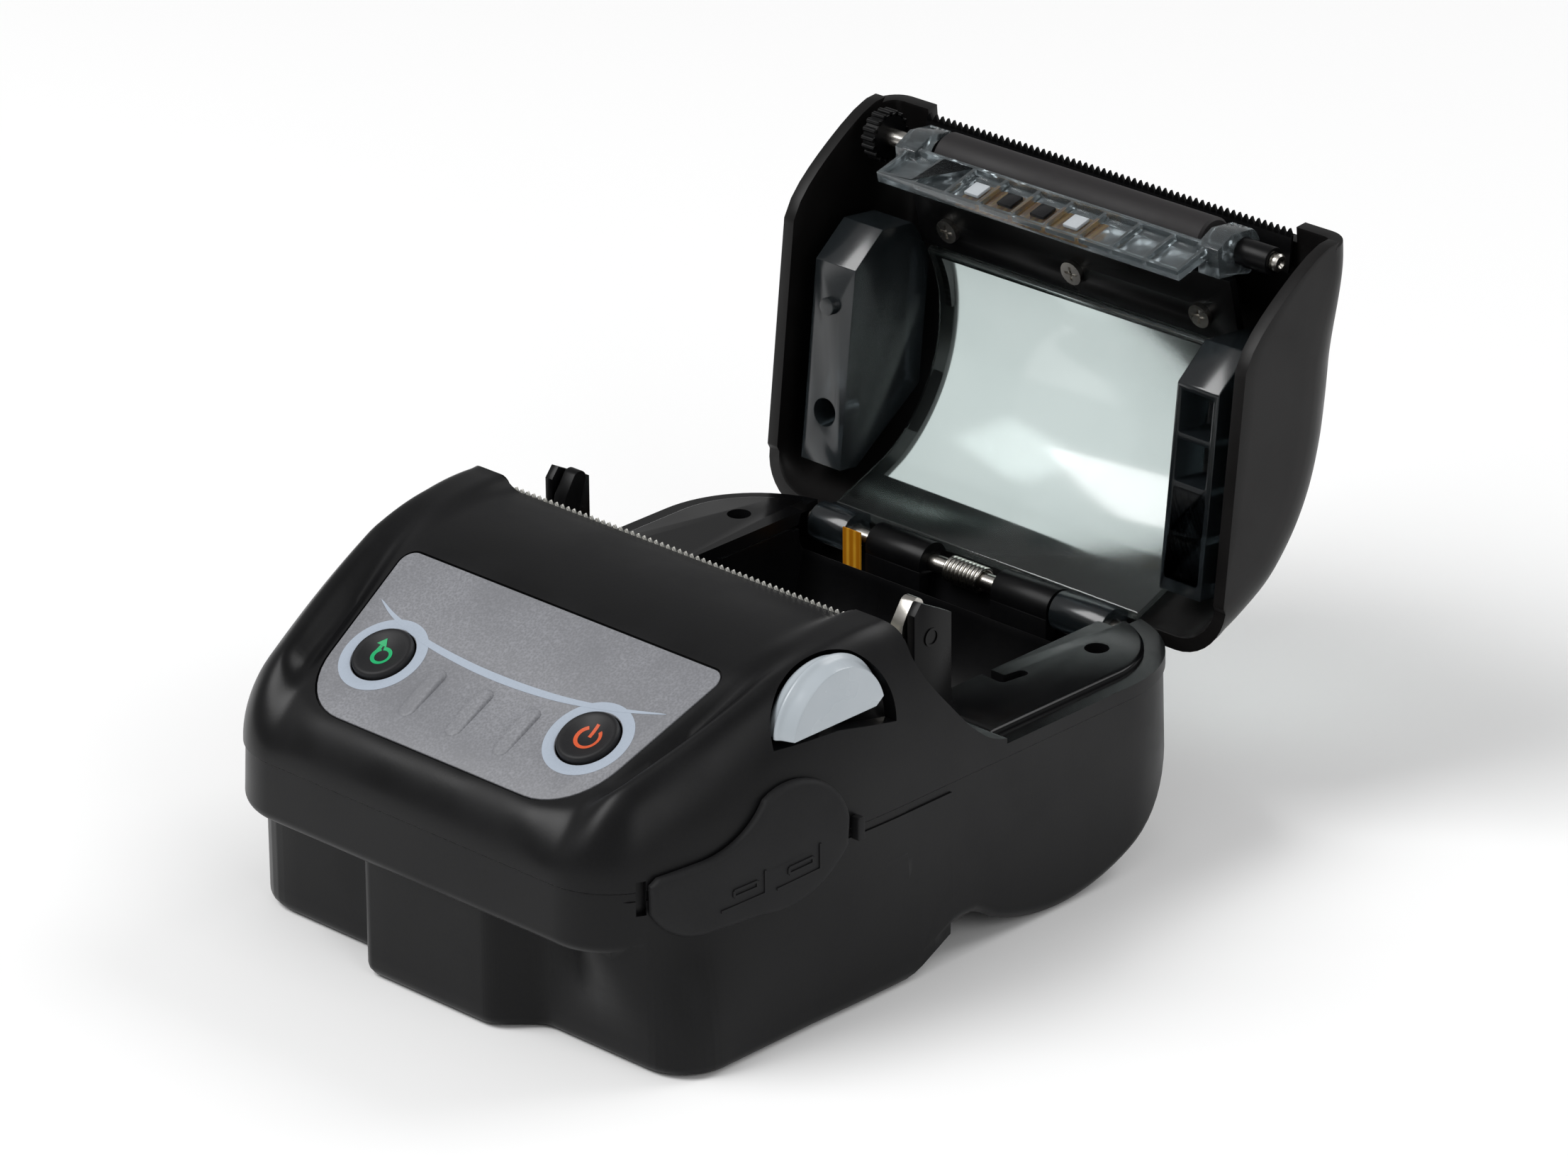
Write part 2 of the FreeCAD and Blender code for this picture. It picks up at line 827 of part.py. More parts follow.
def gear_pins():
    pins = []
    for y, z in ((output_y, output_z), (reduction_y, reduction_z)):
        pin = rod(gear_out_x - 0.4, -plate_out_x, y, z, gear_pin_r)
        pins.append(pin)
    return Part.makeCompound(pins)


def stepper_motor():
    can = rod(-plate_in_x, -plate_in_x + motor_length, pinion_y, pinion_z, motor_r)
    return can.cut(rod(-plate_in_x, -plate_in_x + 2, pinion_y, pinion_z, gear_pin_r * 2))


def lever_sector(r, x0, x1, start, end):
    a0 = math.radians(start)
    a1 = math.radians(end)
    centre = (lever_y, lever_z)
    rim = on_circle(centre, r, a0) + on_circle(centre, r, (a0 + a1) / 2)
    return along_x([centre, on_circle(centre, r, a1), rim], x0, x1)


def open_lever():
    """Half-disc lever on its hub, with a thumb ridge along the rim."""
    disc = lever_sector(lever_r, lever_in_x, lever_out_x, lever_rear_angle, lever_front_angle)
    middle_x = (lever_in_x + lever_out_x) / 2
    ridge = lever_sector(
        lever_r + ridge_height, middle_x - ridge_width / 2, middle_x + ridge_width / 2,
        lever_rear_angle + 30, lever_front_angle - 35,
    )
    hub = rod(lever_in_x, lever_out_x - 3, lever_y, lever_z, lever_hub_r)
    bore = rod(-far, lever_out_x - 2.5, lever_y, lever_z, lever_pin_r + run_gap)
    below = block(lever_skin_x, far, -far, far, -far, lever_slot_z + body_gap)
    swung = below.copy()
    swung.rotate(V(0, lever_y, lever_z), V(1, 0, 0), lever_travel)
    return without(joined([disc, ridge, hub]), [bore, below, swung])


def lock_arm():
    outline = [
        (lock_y - 2.6, lock_z - 2.4),
        (lock_y + 2.6, lock_z - 2.4, lock_y, lock_z - 3.6),
        (39.4, 45.0),
        (42.2, 53.4),
        (39.6, 54.6, 41.4, 54.9),
        (37.4, 51.4),
        (36.4, 46.0),
    ]
    arm = along_x(outline, lock_arm_in_x, lock_arm_in_x + lock_arm_wall)
    return arm.cut(rod(0, far, lock_y, lock_z, lock_shaft_r))


def coil(x0, x1, y, z, r, wire_r, turns):
    """Close-wound coil spring along X."""
    helix = Part.makeHelix((x1 - x0) / turns, x1 - x0, r)
    section = Part.Wire(Part.makeCircle(wire_r, V(r, 0, 0), V(0, 1, 0)))
    spring = Part.Wire(helix.Edges).makePipeShell([section], True, True)
    spring.rotate(V(0, 0, 0), V(0, 1, 0), 90)
    spring.translate(V(x0, y, z))
    return spring


def hinge_knuckles():
    knuckles = []
    for x0, x1 in body_knuckle_spans:
        barrel = rod(x0, x1, hinge_y, hinge_z, knuckle_r)
        web = block(x0, x1, hinge_y - knuckle_r, rear_y, base_z, hinge_z - 1)
        web = web.common(along_x(underside(wall + 2 * run_gap), -far, far))
        bore = rod(x0, x1, hinge_y, hinge_z, hinge_shaft_r)
        knuckles.append(joined([barrel, web]).cut(bore))
    return Part.makeCompound(knuckles)


def lid_side(inset):
    """Side view of the cover above its lower edge, moved inwards by inset."""
    tail_z = rim_z + lid_gap
    slope = math.atan2(shoulder_low_z - rim_z, slope_foot_y - shoulder_rear_y)
    slope_y = slope_foot_y + lid_gap / math.sin(slope)
    high = (lid_front_y, shoulder_low_z + lid_gap)
    low = (slope_y + 0.2, tail_z)
    return [
        high,
        (lid_front_y, lid_front_z - inset),
        (lid_crown_y, lid_crown_z - inset,
         (lid_front_y + lid_crown_y) / 2, (lid_front_z + lid_crown_z) / 2 + 0.4 - inset),
        (lid_back_y, lid_back_z - inset),
        (lid_tail_y - inset, tail_z, lid_turn_y - inset * 0.75, lid_turn_z - inset * 0.75),
        low,
        *slope_points(high, low)[::-1],
    ]


def lid_section(inset):
    """Front view of the cover with its rounded top corners."""
    wide = lid_half - inset
    r = lid_round_r
    top = lid_crown_z - inset
    third = 0.29 * r
    return [
        (wide, -far),
        (wide, top - r),
        (wide - r, top, wide - third, top - third),
        (r - wide, top),
        (-wide, top - r, third - wide, top - third),
        (-wide, -far),
    ]


def lid_shell():
    outer = along_x(lid_side(0), -lid_half, lid_half).common(along_y(lid_section(0), -far, far))
    roof = lid_side(lid_wall)[1:5]
    roof[0] = (lid_front_y, lid_front_z - lid_wall)
    room = [(lid_front_y - 20, lid_front_z - lid_wall)] + roof
    room = room + [(lid_tail_y - lid_wall, -far), (lid_front_y - 20, -far)]
    inner = along_x(room, -far, far).common(along_y(lid_section(lid_wall), -far, far))
    window = block(-window_half, window_half, window_front_y, window_rear_y, lid_turn_z - 6, far)
    recess = block(-cutter_half - 0.3, cutter_half + 0.3, -far, cutter_tip_y + tooth_height, 0, far)
    return without(outer, [inner, window, recess])


def liner_point(r, angle):
    return on_circle((liner_y, liner_z), r, math.radians(angle))


def lid_liner():
    """Clear window curved round the roll, with a skirt down to the hinge knuckles."""
    inner_r = liner_r - liner_wall
    middle = (liner_front_angle + liner_rear_angle) / 2
    skirt_z = hinge_z + knuckle_r
    outline = [
        liner_point(inner_r, liner_front_angle),
        liner_point(liner_r, liner_front_angle),
        liner_point(liner_r, liner_rear_angle) + liner_point(liner_r, middle),
        (skirt_y, skirt_z),
        (skirt_y - liner_wall, skirt_z),
        liner_point(inner_r, liner_rear_angle),
        liner_point(inner_r, liner_front_angle) + liner_point(inner_r, middle),
    ]
    return along_x(outline, -liner_half, liner_half)


def lid_knuckles():
    knuckles = []
    for x0, x1 in lid_knuckle_spans:
        barrel = rod(x0, x1, hinge_y, hinge_z, knuckle_r)
        web = block(x0, x1, skirt_y - liner_wall, skirt_y, hinge_z, hinge_z + knuckle_r)
        bore = rod(x0, x1, hinge_y, hinge_z, hinge_shaft_r + run_gap)
        knuckles.append(joined([barrel, web]).cut(bore))
    return Part.makeCompound(knuckles)


def strip_line():
    """Lower and upper end of the black strip, and its direction and normal in side view."""
    low = (strip_low_y, strip_low_z)
    high = liner_point(liner_r - liner_wall / 2, liner_front_angle)
    length = math.hypot(high[0] - low[0], high[1] - low[1])
    run = ((high[0] - low[0]) / length, (high[1] - low[1]) / length)
    return low, high, run, (-run[1], run[0])


def lid_frame():
    low, high, run, normal = strip_line()
    end = (high[0] - run[0] * 2 * body_gap, high[1] - run[1] * 2 * body_gap)
    outline = [
        low,
        end,
        (end[0] + normal[0] * strip_wall, end[1] + normal[1] * strip_wall),
        (low[0] + normal[0] * strip_wall, low[1] + normal[1] * strip_wall),
    ]
    strip = along_x(outline, -strip_half, strip_half)
    hangers = []
    for x in lid_screw_xs:
        hangers.append(strip_screw(x, strip_wall / 2, 8.0, boss_r * 0.8))
    roof = lid_front_z - lid_wall
    strip = joined([strip] + hangers).common(block(-far, far, -far, far, 0, roof))
    holes = [strip_screw(x, -1, 5.0, screw_r + run_gap) for x in lid_screw_xs]
    return without(strip, holes)


def strip_screw(x, start, end, r):
    """Cylinder square to the black strip at one of its screws."""
    low, high, run, normal = strip_line()
    y = low[0] + (high[0] - low[0]) * lid_screw_share
    z = low[1] + (high[1] - low[1]) * lid_screw_share
    base = V(x, y + normal[0] * start, z + normal[1] * start)
    return Part.makeCylinder(r, end - start, base, V(0, normal[0], normal[1]))


def lid_screws():
    screws = []
    for x in lid_screw_xs:
        head = strip_screw(x, -screw_head_height * 0.7, 0, screw_head_r * 0.8)
        screws.append(joined([head, strip_screw(x, -0.1, 4.5, screw_r)]))
    return Part.makeCompound(screws)


def guide_outline(inset):
    """Side view of a roll guide with its chamfered front corner."""
    return [
        (guide_front_y + inset, guide_top_z),
        (guide_front_y + inset, guide_low_z + guide_chamfer + inset / 2),
        (guide_front_y + guide_chamfer + inset / 2, guide_low_z + inset),
        (guide_rear_y - inset, guide_low_z + inset),
        (guide_rear_y - inset, guide_top_z - 14),
        (guide_rear_y - 12 - inset, guide_top_z),
    ]


def right_roll_guide():
    """Guide block with open cells between cross ribs."""
    body = along_x(guide_outline(0), guide_in_x, guide_out_x)
    start = guide_front_y + guide_chamfer + guide_wall
    pitch = (guide_rear_y - guide_wall - start) / guide_cells
    cells = []
    for i in range(guide_cells):
        y0 = start + i * pitch
        cells.append(block(
            guide_in_x + guide_wall, guide_out_x - guide_wall, y0, y0 + pitch - guide_wall,
            guide_low_z - 1, guide_low_z + 7,
        ))
    return without(body, cells)


def left_roll_guide():
    """Closed guide block with a peg and a round hole in its lower face."""
    body = along_x(guide_outline(0), -guide_out_x, -guide_in_x)
    x = -(guide_in_x + guide_out_x) / 2
    peg = post(x, guide_front_y + 13, guide_low_z - 1.6, guide_low_z + 1, 1.5)
    hole = post(x, guide_rear_y - 9, guide_low_z - 1, guide_low_z + 5, 2.4)
    return joined([body, peg]).cut(hole)


def bar_line():
    length = math.hypot(bar_low_y - bar_top_y, bar_low_z - bar_top_z)
    run = ((bar_low_y - bar_top_y) / length, (bar_low_z - bar_top_z) / length)
    return length, run, (-run[1], run[0])


def bar_prism(x0, x1, start, end, depth0, depth1):
    """Piece of the holder bar between two places along its face and two depths behind it."""
    length, run, normal = bar_line()
    outline = []
    for along, depth in ((start, depth0), (end, depth0), (end, depth1), (start, depth1)):
        outline.append((
            bar_top_y + run[0] * along + normal[0] * depth,
            bar_top_z + run[1] * along + normal[1] * depth,
        ))
    return along_x(outline, x0, x1)


def platen_holder():
    """Ribbed bar below the roller, with an ear at each end for the roller's bush."""
    length = bar_line()[0]
    bar = bar_prism(-bar_half, bar_half, 0, length, 0, bar_depth)
    pitch = (2 * bar_half - bar_rib) / bar_cells
    cells = []
    for i in range(bar_cells):
        x0 = -bar_half + bar_rib + i * pitch
        cells.append(bar_prism(x0, x0 + pitch - bar_rib, bar_rib, length - bar_rib, -1, cell_depth))
    pieces = [without(bar, cells)]
    ear_outline = [
        (platen_y - 3.4, platen_z - 3.0),
        (bar_top_y + 0.4, bar_top_z - 1.5),
        (strip_low_y - 1.0, bar_top_z - 0.4),
        (strip_low_y - 1.0, strip_low_z + 1.5),
        (platen_y + 4.0, platen_z + 2.0),
        (platen_y - 3.4, platen_z + 2.0, platen_y, platen_z + 4.2),
    ]
    for x0 in (ear_in_x, -ear_out_x):
        ear = along_x(ear_outline, x0, x0 + ear_out_x - ear_in_x)
        pieces.append(ear.cut(rod(-far, far, platen_y, platen_z, bush_r)))
    return joined(pieces)


def platen_bushes():
    right = tube(ear_in_x, bush_out_x, platen_y, platen_z, bush_r, platen_shaft_r + run_gap)
    left = tube(-ear_out_x - 1.5, -ear_in_x, platen_y, platen_z, bush_r, platen_shaft_r + run_gap)
    return Part.makeCompound([right, left])


def bar_patch(x0, x1, share0, share1, depth0, depth1):
    length = bar_line()[0]
    return bar_prism(x0, x1, length * share0, length * share1, depth0, depth1)


def sensor_flex():
    """Flat amber circuit behind the bar."""
    return bar_patch(-16.0, 12.0, 0.2, 0.8, bar_depth, bar_depth + 0.3)


def paper_sensors():
    pitch = (2 * bar_half - bar_rib) / bar_cells
    places = [pitch * i for i in (-2, -1, 0, 1)]
    sensors = [bar_patch(x - 1.5, x + 1.5, 0.32, 0.68, cell_depth - 0.6, cell_depth) for x in places]
    return Part.makeCompound(sensors)


def cover_flex():
    """Amber circuit strip that comes up out of the body beside the hinge shaft."""
    y = hinge_y - knuckle_r - 0.5
    return block(-24.5, -20.6, y, y + 0.3, base_z + 2.5, hinge_z + 2.5)


def interface_cap():
    """Rubber cap that follows the side wall, with a plug for the socket opening."""
    face = along_x(cap_silhouette(), 0, far)
    skin = along_z(case_outline(-cap_gap - cap_wall), 0, far)
    skin = skin.cut(along_z(case_outline(-cap_gap), 0, far)).common(face)
    plug = along_z(case_outline(-cap_gap - cap_wall / 2), 0, far)
    plug = plug.cut(along_z(case_outline(wall / 2), 0, far))
    plug = plug.common(port_opening(0, 0, far)).common(face)
    return joined([skin, plug])


def cap_tether():
    """Small rubber block that ties the cap to the case at its rear end."""
    skin = along_z(case_outline(-cap_gap - cap_wall), 0, far).cut(along_z(case_outline(0), 0, far))
    return skin.common(block(0, far, cap_axis_y + body_gap, cap_tab_end_y, seam_z - 1.4, seam_z + 2.4))


def socket_block(span, lip):
    y0, y1 = span
    shell = block(main_board_span[1] - 7, main_board_span[1] + 1.2, y0, y1,
                  main_board_z + board_wall, socket_high_z)
    mouth = block(main_board_span[1] - 3, far, y0 + lip, y1 - lip, socket_low_z + lip,
                  socket_high_z - lip)
    return shell.cut(mouth)


def main_board():
    x0, x1, y0, y1 = main_board_span
    board = block(x0, x1, y0, y1, main_board_z, main_board_z + board_wall)
    board = board.common(along_z(case_outline(wall + body_gap), 0, far))
    posts = []
    for x, y in case_screw_places:
        posts.append(post(x, y, 0, far, boss_r + 1))
    return without(board, posts)


def battery_pack():
    x0, x1, y0, y1 = battery_span
    pack = block(x0, x1, y0, y1, wall, battery_top_z)
    return pack.makeFillet(2.0, [e for e in pack.Edges if abs(e.tangentAt(0).x) > 0.9])


def battery_contacts():
    x0, x1, y0, y1 = battery_span
    middle = (x0 + x1) / 2
    blades = []
    for x in (middle - 6, middle, middle + 6):
        blades.append(block(x, x + contact_wall * 2, y0 + 6, y0 + 12, battery_top_z, main_board_z))
    return Part.makeCompound(blades)


def cover_switch():
    """Small switch on the right plate that feels the closed cover."""
    return block(plate_in_x - 4.4, plate_in_x, 40.0, 45.0, 22.0, 27.0)


def case_screws():
    screws = []
    for x, y in case_screw_places:
        head = post(x, y, screw_seat_z - screw_head_height, screw_seat_z, screw_head_r)
        screws.append(joined([head, post(x, y, screw_seat_z - 0.1, boss_split_z + 7, screw_r)]))
    return Part.makeCompound(screws)


def frame_screws():
    frame_y = (base_front_y + base_rear_y) / 2
    top = base_z + plate_wall
    screws = []
    for x in (-post_x, post_x):
        head = post(x, frame_y, top, top + screw_head_height, screw_head_r * 0.9)
        screws.append(joined([head, post(x, frame_y, base_z - 5, top + 0.1, screw_r)]))
    return Part.makeCompound(screws)


def head_pieces():
    head = block(-head_half, head_half, sink_y, head_y, head_low_z, head_top_z)
    sink = block(-head_half, head_half, leaf_y, sink_y, sink_low_z, head_top_z)
    leaf = block(-head_half * 0.6, head_half * 0.6, back_plate_y, leaf_y, sink_low_z + 2, head_top_z - 3)
    return {"thermal_head": head, "head_heatsink": sink, "head_spring": leaf}


def body_pieces():
    pieces = {
        "lower_case": lower_case(),
        "upper_case": upper_case(),
        "roll_cradle": roll_cradle(),
        "panel_sheet": panel_sheet(),
        "panel_board": panel_board(),
        "key_switches": key_switches(),
        "light_guides": light_guides(),
        "tear_bar": tear_bar(),
        "mechanism_frame": mechanism_frame(),
        "frame_screws": frame_screws(),
        "stepper_motor": stepper_motor(),
        "gear_pins": gear_pins(),
        "main_board": main_board(),
        "usb_socket": socket_block(usb_span, 0.6),
        "serial_socket": socket_block(serial_span, 0.8),
        "battery_pack": battery_pack(),
        "battery_contacts": battery_contacts(),
        "cover_switch": cover_switch(),
        "case_screws": case_screws(),
        "hinge_shaft": rod(-hinge_shaft_half, hinge_shaft_half, hinge_y, hinge_z, hinge_shaft_r),
        "hinge_knuckles": hinge_knuckles(),
        "cover_spring": coil(-4.0, 4.5, hinge_y, hinge_z, hinge_shaft_r + 0.7, 0.4, 8),
        "cover_flex": cover_flex(),
        "lever_pin": rod(plate_in_x, lever_out_x - 2.8, lever_y, lever_z, lever_pin_r),
        "cap_tether": cap_tether(),
    }
    pieces.update(head_pieces())
    return pieces


def moving_pieces():
    lock = lock_arm()
    return {
        "feed_button": key(-key_x),
        "power_button": key(key_x),
        "open_lever": open_lever(),
        "lock_shaft": rod(-plate_out_x, plate_out_x + 1, lock_y, lock_z, lock_shaft_r),
        "lock_arms": Part.makeCompound([lock, mirrored(lock)]),
        "lock_spring": coil(29.4, 34.4, lock_y, lock_z, lock_shaft_r + 0.6, 0.35, 6),
        "interface_cap": interface_cap(),
        "motor_pinion": motor_pinion(),
        "reduction_gear": reduction_gear(),
        "output_gear": gear(gear_out_x, gear_mid_x, output_y, output_z, output_gear_r,
                            gear_pin_r + run_gap),
    }


def cover_pieces():
    return {
        "lid_shell": lid_shell(),
        "lid_liner": lid_liner(),
        "lid_knuckles": lid_knuckles(),
        "lid_frame": lid_frame(),
        "lid_screws": lid_screws(),
        "lid_cutter": lid_cutter(),
        "left_roll_guide": left_roll_guide(),
        "right_roll_guide": right_roll_guide(),
        "platen_holder": platen_holder(),
        "platen_bushes": platen_bushes(),
        "sensor_flex": sensor_flex(),
        "paper_sensors": paper_sensors(),
        "platen_roller": tube(-platen_half, platen_half, platen_y, platen_z, platen_r, platen_shaft_r),
        "platen_shaft": rod(platen_shaft_left, platen_shaft_right, platen_y, platen_z, platen_shaft_r),
        "platen_gear": gear(gear_out_x, gear_mid_x, platen_y, platen_z, platen_gear_r, platen_shaft_r),
    }


os.makedirs("parts", exist_ok=True)
for name, shape in {**body_pieces(), **moving_pieces()}.items():
    save(name, shape)
for name, shape in cover_pieces().items():
    save(name, opened(shape))
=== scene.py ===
import logging
import math
from collections.abc import Callable, Sequence
from dataclasses import dataclass
from enum import Enum
from typing import Any

import bmesh
import bpy
import numpy as np
from mathutils import Euler, Matrix, Vector


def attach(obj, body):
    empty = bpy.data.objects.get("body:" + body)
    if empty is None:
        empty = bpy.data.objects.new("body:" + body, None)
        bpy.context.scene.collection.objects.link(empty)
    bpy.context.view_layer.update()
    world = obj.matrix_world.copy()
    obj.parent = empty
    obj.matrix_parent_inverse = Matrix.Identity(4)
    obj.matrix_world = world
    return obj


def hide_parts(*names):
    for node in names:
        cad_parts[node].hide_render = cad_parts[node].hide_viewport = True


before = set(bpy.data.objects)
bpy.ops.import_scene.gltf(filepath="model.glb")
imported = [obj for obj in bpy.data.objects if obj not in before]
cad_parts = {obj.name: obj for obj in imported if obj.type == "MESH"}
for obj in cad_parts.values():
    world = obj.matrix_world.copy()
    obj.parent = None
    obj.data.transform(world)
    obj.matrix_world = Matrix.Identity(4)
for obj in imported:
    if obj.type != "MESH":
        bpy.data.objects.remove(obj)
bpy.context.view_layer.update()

MM = 0.001
LOG = logging.getLogger("receipt_printer")

Pair = tuple[float, float]
Triple = tuple[float, float, float]
Thing = bpy.types.Object

# Turn that lays an upright shape along X
ALONG_X: Triple = (0.0, math.pi / 2, 0.0)

# Sizes that several pieces share, in millimetres
SEAM = 30.3
WALL = 2.2
HINGE_AXIS: Pair = (93.9, SEAM)
HINGE_ROOM: Pair = (6.2, 3.9)
LEVER_AXIS: Pair = (11.3, 46.5)
KEY_SPOTS: tuple[Pair, Pair] = ((-22.2, -14.9), (22.2, -14.9))


# Finishes


def linear(code: str) -> tuple[float, float, float, float]:
    """Turn an sRGB hex colour into linear light.

    Args:
        code: Six hex digits after a hash sign.

    Returns:
        Red, green, blue and an alpha of one.
    """
    parts = [int(code[i:i + 2], 16) / 255 for i in (1, 3, 5)]
    light = [v / 12.92 if v <= 0.04045 else ((v + 0.055) / 1.055) ** 2.4 for v in parts]
    return (light[0], light[1], light[2], 1.0)


def add(tree: bpy.types.NodeTree, kind: str, inputs: dict | None = None, **settings: Any) -> bpy.types.Node:
    """Add one node with its settings, values and links.

    Args:
        tree: The tree that gets the node.
        kind: The node's type name.
        inputs: A value or another node's output for each input, by name or place.
        **settings: The node's own properties.

    Returns:
        The new node.
    """
    made = tree.nodes.new(kind)
    for key, value in settings.items():
        setattr(made, key, value)
    for key, value in (inputs or {}).items():
        if isinstance(value, bpy.types.NodeSocket):
            tree.links.new(value, made.inputs[key])
        else:
            made.inputs[key].default_value = value
    return made


class Grain(Enum):
    """How a surface was made, which decides its small pattern."""

    SPARK = "spark-eroded mould"
    POLISHED = "polished mould"
    DRAWN = "drawn or rolled along its length"
    STIPPLED = "stippled film"
    ETCHED = "etched tracks under a film"


@dataclass(frozen=True)
class Finish:
    """One material with the detail of its real surface."""

    name: str
    colour: str
    second: str
    roughness: float
    grain: Grain = Grain.SPARK
    grain_mm: float = 0.4
    relief_mm: float = 0.01
    spread: float = 0.35
    patch_mm: float = 14.0
    uneven: float = 0.08
    metallic: float = 0.0
    clear: float = 0.0
    ior: float = 1.5
    specular: float = 0.5
    coat: float = 0.0
    stretch: Triple = (1.0, 1.0, 1.0)

    def pattern(self, tree: bpy.types.NodeTree, place: bpy.types.NodeSocket) -> bpy.types.NodeSocket:
        """Add the small pattern that the surface's making leaves.

        Args:
            tree: The material's tree.
            place: Object coordinates.

        Returns:
            The pattern's strength, from 0 to 1.
        """
        scale = 1 / (self.grain_mm * MM)
        mapped = add(tree, "ShaderNodeMapping", {"Vector": place, "Scale": self.stretch}).outputs[0]
        if self.grain is Grain.STIPPLED:
            cells = add(tree, "ShaderNodeTexVoronoi", {"Vector": mapped, "Scale": scale}, feature="SMOOTH_F1")
            return cells.outputs["Distance"]
        if self.grain is Grain.ETCHED:
            tracks = add(tree, "ShaderNodeTexWave", {
                "Vector": mapped, "Scale": scale / 6, "Distortion": 0.0}, bands_direction="X")
            return tracks.outputs["Fac"]
        detail = 1.0 if self.grain is Grain.POLISHED else 4.0
        noise = add(tree, "ShaderNodeTexNoise", {"Vector": mapped, "Scale": scale, "Detail": detail})
        return noise.outputs["Fac"]

    def material(self) -> bpy.types.Material:
        """Build the material the first time, and give the same one after that.

        Returns:
            The material.
        """
        made = bpy.data.materials.get(self.name)
        if made is not None:
            return made
        made = bpy.data.materials.new(self.name)
        made.use_nodes = True
        tree = made.node_tree
        shader = tree.nodes["Principled BSDF"]
        shader.inputs["Metallic"].default_value = self.metallic
        shader.inputs["Transmission Weight"].default_value = self.clear
        shader.inputs["Coat Weight"].default_value = self.coat
        shader.inputs["Coat Roughness"].default_value = 0.08
        if not self.metallic:
            shader.inputs["IOR"].default_value = self.ior
            shader.inputs["Specular IOR Level"].default_value = self.specular
        place = add(tree, "ShaderNodeTexCoord").outputs["Object"]
        grain = self.pattern(tree, place)
        patch = add(tree, "ShaderNodeTexNoise", {
            "Vector": place, "Scale": 1 / (self.patch_mm * MM), "Detail": 3.0}).outputs["Fac"]
        mixed = add(tree, "ShaderNodeMath", {0: grain, 1: patch}, operation="MULTIPLY").outputs[0]
        share = add(tree, "ShaderNodeMapRange", {
            "Value": mixed, "From Min": 0.12, "From Max": 0.42, "To Min": 0.0, "To Max": self.spread})
        tint = add(tree, "ShaderNodeMix", {
            0: share.outputs[0], 6: linear(self.colour), 7: linear(self.second)}, data_type="RGBA")
        gloss = add(tree, "ShaderNodeMapRange", {
            "Value": patch, "From Min": 0.3, "From Max": 0.7,
            "To Min": max(self.roughness - self.uneven, 0.02), "To Max": self.roughness + self.uneven})
        relief = add(tree, "ShaderNodeBump", {
            "Height": grain, "Strength": 0.5, "Distance": self.relief_mm * MM})
        tree.links.new(tint.outputs[2], shader.inputs["Base Color"])
        tree.links.new(gloss.outputs[0], shader.inputs["Roughness"])
        tree.links.new(relief.outputs[0], shader.inputs["Normal"])
        return made


# Mould grain, rubber grain and film stipple are mostly under 0.1 mm, too fine to show in a picture of the
# whole printer, so all of them are drawn a few times coarser.

# Black ABS from a spark-eroded mould: a deep black with a broad, soft sheen.
CASE_ABS = Finish("black_abs_spark_eroded", "#0b0b0c", "#131315", 0.37, grain_mm=0.45, relief_mm=0.012,
                  specular=0.19, spread=0.5)
# The cover is the same ABS from a finer mould, so its sheen is a little tighter.
COVER_ABS = Finish("black_abs_fine_mould", "#0d0c0c", "#151313", 0.4, grain_mm=0.4, relief_mm=0.008,
                   specular=0.2, spread=0.5)
# The rims are polished in the mould, so they mirror the dark cover and show a bright line on their edge.
RIM_ABS = Finish("black_abs_polished_rim", "#070708", "#0d0d0e", 0.2, Grain.POLISHED, grain_mm=5.0,
                 relief_mm=0.006, uneven=0.05, specular=0.2)
# Textured polycarbonate film printed grey: the stipple scatters light into a fine speckle.
PANEL_FILM = Finish("grey_printed_polycarbonate_film", "#75767a", "#8c8d92", 0.5, Grain.STIPPLED,
                    grain_mm=0.34, relief_mm=0.02, spread=0.8, specular=0.35)
# Pale screen-printing ink on that film, a little smoother than the stipple round it.
PALE_INK = Finish("pale_screen_print_ink", "#a4aebb", "#98a2ae", 0.45, Grain.STIPPLED, grain_mm=0.34,
                  relief_mm=0.012, specular=0.35)
# Colours printed on the rubber keys: flat and clear, with the rubber's grain under them.
GREEN_INK = Finish("green_screen_print_ink", "#16a062", "#1cb572", 0.5, grain_mm=0.5, specular=0.3)
ORANGE_INK = Finish("orange_screen_print_ink", "#c9512b", "#dd6a3c", 0.5, grain_mm=0.5, specular=0.3)
# Silicone rubber keys: near black, dry to look at, with a trace of dust in the grain.
KEY_RUBBER = Finish("black_silicone_rubber", "#151517", "#232325", 0.52, grain_mm=0.6, relief_mm=0.006,
                    specular=0.26)
# The soft socket cap, moulded in rubber: a shade paler and flatter than the case.
CAP_RUBBER = Finish("charcoal_moulded_rubber", "#161617", "#1e1e20", 0.6, grain_mm=0.5, relief_mm=0.01,
                    specular=0.22)
# Ground nitrile rubber of the roller: dull, brown-grey, with a faint ground grain round it.
ROLLER_RUBBER = Finish("ground_nitrile_rubber", "#1e1c1d", "#2a2728", 0.58, grain_mm=0.35, relief_mm=0.01,
                       specular=0.3, stretch=(0.2, 1.0, 1.0))
# Pale grey ABS from a polished mould: light catches its ridge in a clear streak.
LEVER_ABS = Finish("pale_grey_polished_abs", "#aab2b8", "#b8bfc5", 0.24, Grain.POLISHED, grain_mm=6.0,
                   relief_mm=0.01, specular=0.5, coat=0.15)
# Clear polycarbonate: a faint grey-green tint and soft flow lines.
CLEAR_PC = Finish("clear_polished_polycarbonate", "#ccd8d6", "#c2cfcd", 0.14, Grain.POLISHED, grain_mm=16.0,
                  relief_mm=0.001, uneven=0.03, clear=1.0, ior=1.58, specular=0.25)
